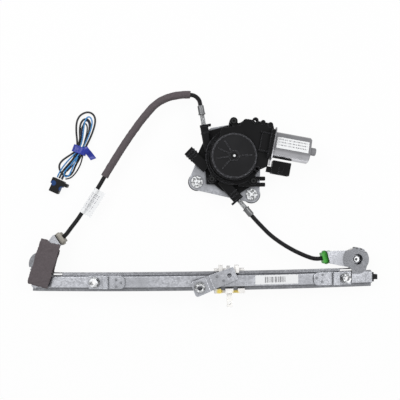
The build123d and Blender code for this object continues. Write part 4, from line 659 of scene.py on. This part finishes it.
BLUE_ROUTE = (
    (-205.1, 33.0, 6.6), (-202.1, 39.6, 6.6), (-196.9, 47.8, 6.4), (-189.5, 56.4, 6.6), (-181.5, 64.0, 7.0),
    waist(-1.0, 8.8), (-168.2, 84.6, 8.4), (-166.6, 98.0, 8.0), (-165.2, 109.0, 7.6), (-162.4, 117.0, 7.0),
    (-157.4, 119.0, 6.4), (-153.8, 112.0, 5.8), (-156.1, 101.0, 5.8), (-161.5, 86.4, 6.6),
    waist(3.0, 8.8), (-178.3, 58.8, 8.6), (-185.3, 50.4, 8.2), (-191.3, 44.4, 8.0), (-195.5, 38.6, 8.0),
    (-193.5, 33.0, 8.0), (-188.1, 34.6, 8.0), (-184.9, 41.4, 8.2), (-180.5, 51.0, 8.4), (-175.3, 61.0, 8.4),
)
DARK_BLUE_ROUTE = (
    (-199.9, 30.4, 3.4), (-197.1, 36.6, 3.2), (-192.3, 45.8, 2.8), (-185.5, 54.6, 2.8), (-178.5, 62.6, 3.0),
    waist(-1.4, 3.4), (-170.7, 84.6, 3.0), (-169.9, 98.0, 2.8), (-167.7, 108.6, 2.8), (-163.5, 114.4, 2.8),
    (-159.1, 110.6, 2.8), (-159.3, 100.0, 2.8), (-163.7, 86.0, 3.0),
    waist(1.9, 3.4), (-177.3, 56.8, 3.0), (-185.5, 47.8, 2.8), (-191.9, 41.6, 2.8),
)


def wire(name, route, diameter, material):
    """One wire of the harness along its route."""
    curve = bpy.data.curves.new(name, "CURVE")
    curve.dimensions = "3D"
    curve.bevel_depth = diameter / 2
    curve.bevel_resolution = 4
    curve.use_fill_caps = True
    spline = curve.splines.new("NURBS")
    spline.points.add(len(route) - 1)
    for point, place in zip(spline.points, route):
        point.co = (place[0] * MM, place[1] * MM, place[2] * MM, 1.0)
    spline.order_u = 3
    spline.use_endpoint_u = True
    spline.resolution_u = 10
    obj = shown(name, curve)
    curve.materials.append(material)
    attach(obj, "root")
    return obj


class REGULATOR_OT_harness(bpy.types.Operator):
    """Lay the wires of the loose harness in their hank"""
    bl_idname = "regulator.harness"
    bl_label = "Harness Wires"

    def execute(self, context):
        sizes = context.scene.regulator_harness
        gloss = {"roughness": 0.38, "specular": 0.3}
        black = moulding("Black wire", sizes.black, edge=1.2, texture=0.00002, **gloss)
        light = moulding("Light blue wire", sizes.light_blue, edge=1.1, **gloss)
        dark = moulding("Dark blue wire", sizes.dark_blue, edge=1.1, **gloss)
        thick = wire("wire_black", BLACK_ROUTE, sizes.black_diameter, black)
        wire("wire_black_thin", THIN_BLACK_ROUTE, sizes.blue_diameter, black)
        wire("wire_light_blue", BLUE_ROUTE, sizes.blue_diameter, light)
        wire("wire_dark_blue", DARK_BLUE_ROUTE, sizes.blue_diameter, dark)
        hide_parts("harness_hank")
        return {"FINISHED"}


class REGULATOR_OT_tie(bpy.types.Operator):
    """Wind the blue band round the hank's waist and leave its folded tail"""
    bl_idname = "regulator.tie"
    bl_label = "Harness Tie"

    def execute(self, context):
        sizes = context.scene.regulator_harness
        material = moulding(
            "Tie band", sizes.tie, roughness=0.30, specular=0.45, edge=1.25, texture=0.00003)
        along = Vector((-WAIST_ACROSS.y, WAIST_ACROSS.x, 0.0))
        turn = Matrix((
            (WAIST_ACROSS.x, along.x, 0.0, WAIST.x),
            (WAIST_ACROSS.y, along.y, 0.0, WAIST.y),
            (0.0, 0.0, 1.0, TIE_HEIGHT),
            (0.0, 0.0, 0.0, 1.0),
        ))
        bm = bmesh.new()
        ring = bmesh.ops.create_circle(bm, segments=TIE_SIDES, radius=1.0)["verts"]
        for vert in ring:
            angle = Vector((vert.co.x, vert.co.y)).angle_signed(Vector((1.0, 0.0)))
            # flattened loop, a little wider than the wires
            wide, high = (
                half * max(-1.0, min(1.0, TIE_SQUARE * way))
                for half, way in zip(TIE_HALF, (cos(angle), sin(angle))))
            vert.co = Vector((wide, 0.0, high))
        edges = bm.edges[:]
        bmesh.ops.translate(bm, verts=bm.verts, vec=(0.0, -sizes.tie_width / 2, 0.0))
        for _ in range(TIE_STEPS):
            grown = bmesh.ops.extrude_edge_only(bm, edges=edges)["geom"]
            edges = [item for item in grown if isinstance(item, bmesh.types.BMEdge)]
            verts = [item for item in grown if isinstance(item, bmesh.types.BMVert)]
            bmesh.ops.translate(bm, verts=verts, vec=(0.0, sizes.tie_width / TIE_STEPS, 0.0))
        for vert in bm.verts:
            wave = noise.noise(Vector(vert.co) * TIE_WAVE_SCALE)
            vert.co += Vector((0.0, *TIE_WAVE)) * wave
        bmesh.ops.transform(bm, matrix=turn, verts=bm.verts)
        thicken(bm, -sizes.tie_thickness)
        band = from_bmesh("tie_band", bm)
        finish(band, "root", material)
        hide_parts("harness_tie")

        # tail: a folded strip that runs down beside the wires
        bm = bmesh.new()
        bmesh.ops.create_grid(bm, x_segments=10, y_segments=24, size=0.5)
        for vert in bm.verts:
            run = vert.co.y + 0.5
            side = vert.co.x
            fold = TAIL_FOLD[0] * sin(run * TAIL_FOLD[1])
            fold += TAIL_TWIST[0] * side * sin(run * TAIL_TWIST[1])
            vert.co = TAIL_START + TAIL_RUN * run + TAIL_ACROSS * side + Vector((0.0, 0.0, fold))
        thicken(bm, sizes.tie_thickness)
        tail = from_bmesh("tie_tail", bm)
        finish(tail, "root", material)
        return {"FINISHED"}


# ---------------------------------------------------------------- foam
FOAM_LOWEST = 0.0004    # no vertex of the foam comes nearer to the table
FINE_WAVE = (2.7, 0.45)    # the second wave's scale and height, as shares of the first's
WAVE_MIDDLE = 0.25    # taken off the waves, so that the foam doesn't grow
WRAP_FOOT = Vector((-0.2262, -0.125, 0.0))    # lower end of the wrap's middle line
WRAP_LINE = Vector((0.0115, 0.073, 0.0))    # from there to its upper end
WRAP_FRONT = 0.018    # the wrap's front lies above this height
CREASES = (    # start, end, width and depth
    (Vector((-0.2300, -0.1150, 0.0)), Vector((-0.2060, -0.1105, 0.0)), 0.0026, 0.0011),
    (Vector((-0.2290, -0.0580, 0.0)), Vector((-0.2245, -0.0700, 0.0)), 0.0030, 0.0013),
)


def ripple(obj, height, scale, seed):
    """Push a foam piece in and out by a slow smooth pattern."""
    mesh = obj.data
    normals = [Vector(vertex.normal) for vertex in mesh.vertices]
    for vertex, normal in zip(mesh.vertices, normals):
        place = Vector(vertex.co) * scale + Vector((seed, seed * 2.0, 0.0))
        wave = noise.noise(place) + FINE_WAVE[1] * noise.noise(place * FINE_WAVE[0])
        vertex.co += normal * (wave - WAVE_MIDDLE) * height
        vertex.co.z = max(vertex.co.z, FOAM_LOWEST)


def soften(obj, rounds):
    """Smooth a remeshed piece."""
    bm = bmesh.new()
    bm.from_mesh(obj.data)
    for _ in range(rounds):
        bmesh.ops.smooth_vert(
            bm, verts=bm.verts, factor=0.5, use_axis_x=True, use_axis_y=True, use_axis_z=True)
    bm.to_mesh(obj.data)
    bm.free()
    for face in obj.data.polygons:
        face.use_smooth = True


def lean(obj, low, high, back, front, spread):
    """Slide the wrap's back and front apart, and widen the front about its middle line."""
    for vertex in obj.data.vertices:
        share = max(0.0, min(1.0, (vertex.co.z - low) / (high - low)))
        run = (vertex.co.y - WRAP_FOOT.y) / WRAP_LINE.y
        middle = WRAP_FOOT.x + WRAP_LINE.x * run
        vertex.co.x += back * (1.0 - share) + share * (front * run + spread * (vertex.co.x - middle))


def crease(obj, start, end, width, depth):
    """Press a straight fold into a foam piece's front."""
    line = end - start
    for vertex in obj.data.vertices:
        if vertex.co.z < WRAP_FRONT:
            continue
        place = Vector((vertex.co.x, vertex.co.y, 0.0)) - start
        run = max(0.0, min(1.0, place.dot(line) / line.length_squared))
        away = (place - line * run).length / width
        if away < 1.0:
            vertex.co.z -= depth * (1.0 - away) ** 2


class REGULATOR_OT_foam(bpy.types.Operator):
    """Wrap the left end and the conduit in foam tape"""
    bl_idname = "regulator.foam"
    bl_label = "Foam Tape"

    def execute(self, context):
        sizes = context.scene.regulator_foam
        material = foam("Foam tape", sizes.foam)
        wrap = merged_copy("foam_wrap_tape", "foam_wrap", sizes.wrap_voxel)
        soften(wrap, rounds=4)
        ripple(wrap, sizes.ripple, scale=75.0, seed=3.0)
        lean(wrap, low=0.010, high=0.020, back=-0.0045, front=0.0020, spread=0.10)
        for fold in CREASES:
            crease(wrap, *fold)
        finish(wrap, "root", material)
        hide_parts("foam_wrap")
        sleeve = merged_copy("foam_sleeve_tape", "foam_sleeve", sizes.sleeve_voxel)
        soften(sleeve, rounds=2)
        ripple(sleeve, sizes.ripple * 0.35, scale=160.0, seed=9.0)
        finish(sleeve, "root", material)
        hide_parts("foam_sleeve")
        return {"FINISHED"}


# ---------------------------------------------------------------- springs
SPRING_HALF = 0.0074    # half a spring's length
SPRING_SIDES = 8
SPRING_STEPS = 20    # straight pieces in one turn
SPRINGS = (    # the CAD's spring, its middle and its heading
    ("tension_spring_upper", Vector((0.00305, 0.10983, 0.020)), Vector((-0.1564, 0.9877, 0.0))),
    ("tension_spring_lower", Vector((0.05626, -0.00897, 0.020)), Vector((0.6327, -0.7744, 0.0))),
)


class REGULATOR_OT_springs(bpy.types.Operator):
    """Wind the two tension springs from round wire, nearly closed"""
    bl_idname = "regulator.springs"
    bl_label = "Tension Springs"

    def execute(self, context):
        sizes = context.scene.regulator_metal
        material = turned_metal("Spring wire", sizes.bright, roughness=0.30)
        for node, middle, along in SPRINGS:
            bm = bmesh.new()
            bmesh.ops.create_circle(
                bm, segments=SPRING_SIDES, radius=sizes.spring_wire / 2, cap_ends=True)
            upright = Matrix.Rotation(radians(90.0), 3, "X")
            bmesh.ops.rotate(bm, verts=bm.verts, cent=(0.0, 0.0, 0.0), matrix=upright)
            bmesh.ops.translate(bm, verts=bm.verts, vec=(sizes.spring_radius, 0.0, -SPRING_HALF))
            steps = int(sizes.spring_turns * SPRING_STEPS)
            bmesh.ops.spin(
                bm, geom=bm.faces[:] + bm.edges[:] + bm.verts[:],
                cent=(0.0, 0.0, 0.0), axis=(0.0, 0.0, 1.0),
                dvec=(0.0, 0.0, 2 * SPRING_HALF / steps), angle=radians(360.0) * sizes.spring_turns,
                steps=steps, use_merge=False, use_duplicate=False)
            turn = along.to_track_quat("Z", "Y").to_matrix().to_4x4()
            bmesh.ops.transform(bm, verts=bm.verts, matrix=Matrix.Translation(middle) @ turn)
            coil = from_bmesh(node + "_wire", bm)
            finish(coil, "root", material)
            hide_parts(node)
        return {"FINISHED"}


# ---------------------------------------------------------------- labels
BOW_RADIUS = 1.3
CROWN_HEIGHT = 0.0345    # of the rail's bow, above the table
WEB_FRONT = 0.006    # from the bow to the front of the rail's web
LABEL_GAP = 0.00004    # between the rail and its label
RAIL_LABEL = (0.1036, 0.0007)    # middle of the label, along the bow and above the rail's line
BARS_SHIFT = 0.0048    # from the middle of the bars to the label's middle
CAN_LABEL = Vector((0.0755, 0.0285, 0.0494))    # from the drum pin, along the motor's heading
CAN_ROLL = radians(-20.0)
FLAG_CENTRE = Vector((-0.1554, -0.0024, 0.0168))
FLAG_TURN = radians(56.2)


class REGULATOR_OT_labels(bpy.types.Operator):
    """Stick the plain labels on the rail and on the motor can"""
    bl_idname = "regulator.labels"
    bl_label = "Labels"

    def execute(self, context):
        sizes = context.scene.regulator_labels
        middle, rise = RAIL_LABEL
        material = bar_code(
            "Rail label", sizes.paper, sizes.ink, (middle - BARS_SHIFT, RAIL_LINE + rise, 0.0), 0.0,
            step=0.00105, half_length=0.0142, half_width=0.0040)
        bm = bmesh.new()
        bmesh.ops.create_grid(bm, x_segments=24, y_segments=2, size=0.5)
        radius = BOW_RADIUS + WEB_FRONT + LABEL_GAP
        for vert in bm.verts:
            arc = (middle + vert.co.x * sizes.rail_length) / BOW_RADIUS
            vert.co = Vector((
                CENTRE.x + radius * sin(arc),
                RAIL_LINE + rise + vert.co.y * sizes.rail_width,
                CROWN_HEIGHT - BOW_RADIUS + radius * cos(arc)))
        thicken(bm, sizes.thickness)
        label = from_bmesh("rail_label", bm, smooth=False)
        finish(label, "root", material)

        place = Matrix.Translation(DRIVE_CENTRE) @ Matrix.Rotation(DRIVE_TURN, 4, "Z")
        paper = bar_code(
            "Can label", sizes.paper, sizes.ink, place @ CAN_LABEL, DRIVE_TURN,
            step=0.0011, half_length=0.0200, half_width=0.0062, rows=0.0040)
        bm = bmesh.new()
        bmesh.ops.create_grid(bm, x_segments=8, y_segments=4, size=0.5)
        bmesh.ops.scale(bm, verts=bm.verts, vec=(sizes.can_length, sizes.can_width, 1.0))
        thicken(bm, sizes.thickness)
        bmesh.ops.transform(
            bm, verts=bm.verts,
            matrix=place @ Matrix.Translation(CAN_LABEL) @ Matrix.Rotation(CAN_ROLL, 4, "X"))
        sticker = from_bmesh("can_label", bm, smooth=False)
        finish(sticker, "root", paper)
        flag = bar_code(
            "Flag label", sizes.paper, scaled(sizes.ink, 3.0), FLAG_CENTRE, FLAG_TURN,
            step=0.0016, half_length=0.0130, half_width=0.0060, rows=0.0030)
        dress(flag, "conduit_tag")
        return {"FINISHED"}


# ---------------------------------------------------------------- finishes of the CAD pieces
# radii or distances, in metres, between which a band of light or shade rises
RAIL_FLANGE = (0.0092, 0.0100)
DISH_SHADE = (0.0195, 0.0215)
DISH_HUB = (0.0040, 0.0060)
AXLE_CUP = (0.0017, 0.0025)
PIN_EDGE = (0.0013, 0.0019)
CAN_FRONT = (-0.0105, -0.0060)
CAN_GLEAM = (0.0125, 0.0150)
COVER_OUTSIDE = (0.0300, 0.0312)
COVER_INSIDE = (0.0286, 0.0296)


class REGULATOR_OT_metal(bpy.types.Operator):
    """Give the steel pieces their zinc, drawn and greased finishes"""
    bl_idname = "regulator.metal"
    bl_label = "Steel Finishes"

    def execute(self, context):
        sizes = context.scene.regulator_metal
        zinc, bright = sizes.galvanised, sizes.bright
        size, wear = sizes.spangle_size, sizes.wear_radius
        rail = sheet_metal("Rail zinc", zinc, size, wear)
        # painted shade: the rail's flanges darkened on each side of its web, one side more than the other
        for turn, share in ((radians(180.0), 0.48), (0.0, 0.62)):
            toned(rail, across_frame(rail.node_tree, turn, (0.0, RAIL_LINE, 0.0), *RAIL_FLANGE), share)
        dress(rail, "rail")
        bracket = sheet_metal("Bracket zinc", zinc, size * 0.7, wear)
        dress(bracket, "rail_bracket_left", "rail_bracket_middle", "rail_bracket_right")
        dress(sheet_metal("Clean zinc", CLEAN_ZINC, size, wear, corner_shade_tone=0.9), "slider_plate")
        stamped = sheet_metal("Stamped zinc", zinc, size * 0.8, wear, dull=0.95, reach=0.0006, corner_shade_tone=0.6)
        # painted shade over each pulley bracket's dish, and a painted highlight on its hub
        for centre in PULLEY_CENTRES:
            for reach, share in ((DISH_SHADE, 0.50), (DISH_HUB, 1.5)):
                toned(stamped, near_axis(stamped.node_tree, centre, *reach), share)
        dress(stamped, "pulley_bracket_left", "pulley_bracket_right")
        dress(sheet_metal("Plate zinc", zinc, size * 0.9, wear, dull=0.85), "mounting_plate")

        dress(turned_metal("Plated nuts", bright, 0.26, glints=260.0), "rail_nuts")
        dress(turned_metal("Plated sleeves", bright, 0.26, glints=420.0), "mount_sleeves")
        axle = turned_metal("Riveted axle", scaled(bright, 1.5), 0.30)
        # painted shade: the middle of each axle's head darkened
        for centre in PULLEY_CENTRES:
            toned(axle, near_axis(axle.node_tree, centre, *AXLE_CUP), 0.10)
        dress(axle, "pulley_axles")
        pin = turned_metal("Drum pin", scaled(bright, 1.4), 0.30)
        # painted shade round the drum pin's head: all but its middle darkened almost to black
        toned(pin, past_axis(pin.node_tree, DRIVE_CENTRE, *PIN_EDGE), 0.03)
        dress(pin, "drum_pin")
        can = turned_metal("Drawn can", sizes.drawn, 0.22)
        # painted shade over the can away from one long side, and a painted highlight in a band along that
        # side
        for turn, reach, share in ((0.0, CAN_FRONT, 0.62), (radians(180.0), CAN_GLEAM, 2.0)):
            toned(can, across_frame(can.node_tree, DRIVE_TURN + turn, CAN_ORIGIN, *reach), share)
        dress(can, "motor_can")
        for name, tint, roughness, nodes in (
            ("Bright zinc", bright, 0.28, ("slider_screws", "armature_shaft")),
            ("Clinch points", scaled(zinc, 0.55), 0.35, ("clinch_rivets",)),
            ("Dark screws", scaled(bright, 0.05), 0.40, ("housing_screws",)),
            ("Greased cable", sizes.cable, 0.42,
             ("rail_cable", "drive_cable", "cable_turns", "cable_nipples")),
            ("Crimped ferrule", scaled(bright, 0.28), 0.38, ("conduit_ferrules",)),
            ("Copper wire", COPPER, 0.35, ("armature_winding", "commutator")),
            ("Bearing bronze", BRONZE, 0.40, ("shaft_bearings", "connector_pins")),
            ("Core iron", IRON, 0.45, ("armature_core",)),
        ):
            dress(turned_metal(name, tint, roughness), *nodes)
        return {"FINISHED"}


class REGULATOR_OT_plastic(bpy.types.Operator):
    """Give the moulded and rubber pieces their finishes"""
    bl_idname = "regulator.plastic"
    bl_label = "Plastic Finishes"

    def execute(self, context):
        sizes = context.scene.regulator_plastic
        # painted highlight: the edge brightness of 24 lights the cover's ribs and edges
        cover = moulding("Cover black", scaled(sizes.black, 2.2), roughness=0.36, edge=24.0)
        # painted highlight: a bright ring round the gear cover's rim
        rim = maths(
            cover.node_tree, "MULTIPLY", near_axis(cover.node_tree, DRIVE_CENTRE, *COVER_OUTSIDE),
            past_axis(cover.node_tree, DRIVE_CENTRE, *COVER_INSIDE))
        toned(cover, rim, 1.8)
        dress(cover, "gear_cover")
        # painted highlight: the edge brightness of 40 lights the connector's edges
        plug = moulding("Connector black", sizes.black, roughness=0.42, edge=40.0)
        spotted(plug, PLUG_LATCHES, 0.0034, 0.0040, LATCH_BLUE)
        dress(plug, "harness_connector")
        nylon = moulding("White nylon", sizes.white, roughness=0.42, specular=0.4, edge=1.1, corner_shade_tone=0.85)
        spotted(nylon, GREASE_SPOTS, 0.0022, 0.0062, GREASE)
        dress(nylon, "glass_carrier", "pulley_left", "pulley_right", "drum", "worm_wheel")
        sheath = moulding(
            "Conduit sheath", sizes.sheath, roughness=0.30, specular=0.16, edge=1.2, texture=0.00002)
        dress(sheath, "conduit_upper", "conduit_lower")
        # name, colour, roughness, specular, brightness of the edges (wear, and a painted highlight for the
        # housings), pieces
        for name, tint, roughness, specular, edge, nodes in (
            # painted highlight: the housings' edge brightness of 38 lights their edges
            ("Housing black", sizes.black, 0.42, 0.10, 38.0,
             ("drum_housing", "gear_housing", "motor_connector", "brush_holder")),
            ("Green nylon", sizes.green, 0.40, 0.4, 1.2, ("conduit_bush_right",)),
            ("Beige nylon", sizes.beige, 0.45, 0.35, 1.2, ("conduit_bush_left",)),
            ("Rubber", sizes.rubber, 0.75, 0.2, 1.9, ("rubber_rings", "end_buffer")),
            ("Ferrite", FERRITE, 0.70, 0.14, 1.9, ("motor_magnets", "brushes")),
        ):
            dress(moulding(name, tint, roughness, specular, edge), *nodes)
        return {"FINISHED"}


# ---------------------------------------------------------------- panel and registration
class REGULATOR_PT_looks(bpy.types.Panel):
    bl_label = "Window Regulator"
    bl_idname = "REGULATOR_PT_looks"
    bl_space_type = "VIEW_3D"
    bl_region_type = "UI"
    bl_category = "Regulator"

    def draw(self, context):
        for group_name, _, operators in STEPS:
            box = self.layout.box()
            group = getattr(context.scene, group_name)
            for field in group.bl_rna.properties:
                if field.identifier not in {"rna_type", "name"}:
                    box.prop(group, field.identifier)
            for operator in operators:
                box.operator(operator.bl_idname)


STEPS = (    # the scene's property, its group and the operators that read it
    ("regulator_stage", REGULATOR_PG_stage, (REGULATOR_OT_stage,)),
    ("regulator_harness", REGULATOR_PG_harness, (REGULATOR_OT_harness, REGULATOR_OT_tie)),
    ("regulator_foam", REGULATOR_PG_foam, (REGULATOR_OT_foam,)),
    ("regulator_labels", REGULATOR_PG_labels, (REGULATOR_OT_labels,)),
    ("regulator_metal", REGULATOR_PG_metal, (REGULATOR_OT_metal, REGULATOR_OT_springs)),
    ("regulator_plastic", REGULATOR_PG_plastic, (REGULATOR_OT_plastic,)),
)


def register():
    for name, group, operators in STEPS:
        for part in (group, *operators):
            bpy.utils.register_class(part)
        setattr(bpy.types.Scene, name, PointerProperty(type=group))
    bpy.utils.register_class(REGULATOR_PT_looks)


def unregister():
    bpy.utils.unregister_class(REGULATOR_PT_looks)
    for name, group, operators in STEPS:
        delattr(bpy.types.Scene, name)
        for part in (*operators, group):
            bpy.utils.unregister_class(part)


def main():
    register()
    for make_group in (edge_wear_and_highlight_group, painted_shade_group, grain_group, spangle_group, foam_group):
        make_group()
    bpy.ops.regulator.stage()
    bpy.ops.regulator.harness()
    bpy.ops.regulator.tie()
    bpy.ops.regulator.foam()
    bpy.ops.regulator.labels()
    bpy.ops.regulator.metal()
    bpy.ops.regulator.springs()
    bpy.ops.regulator.plastic()


if __name__ == "__main__":
    main()
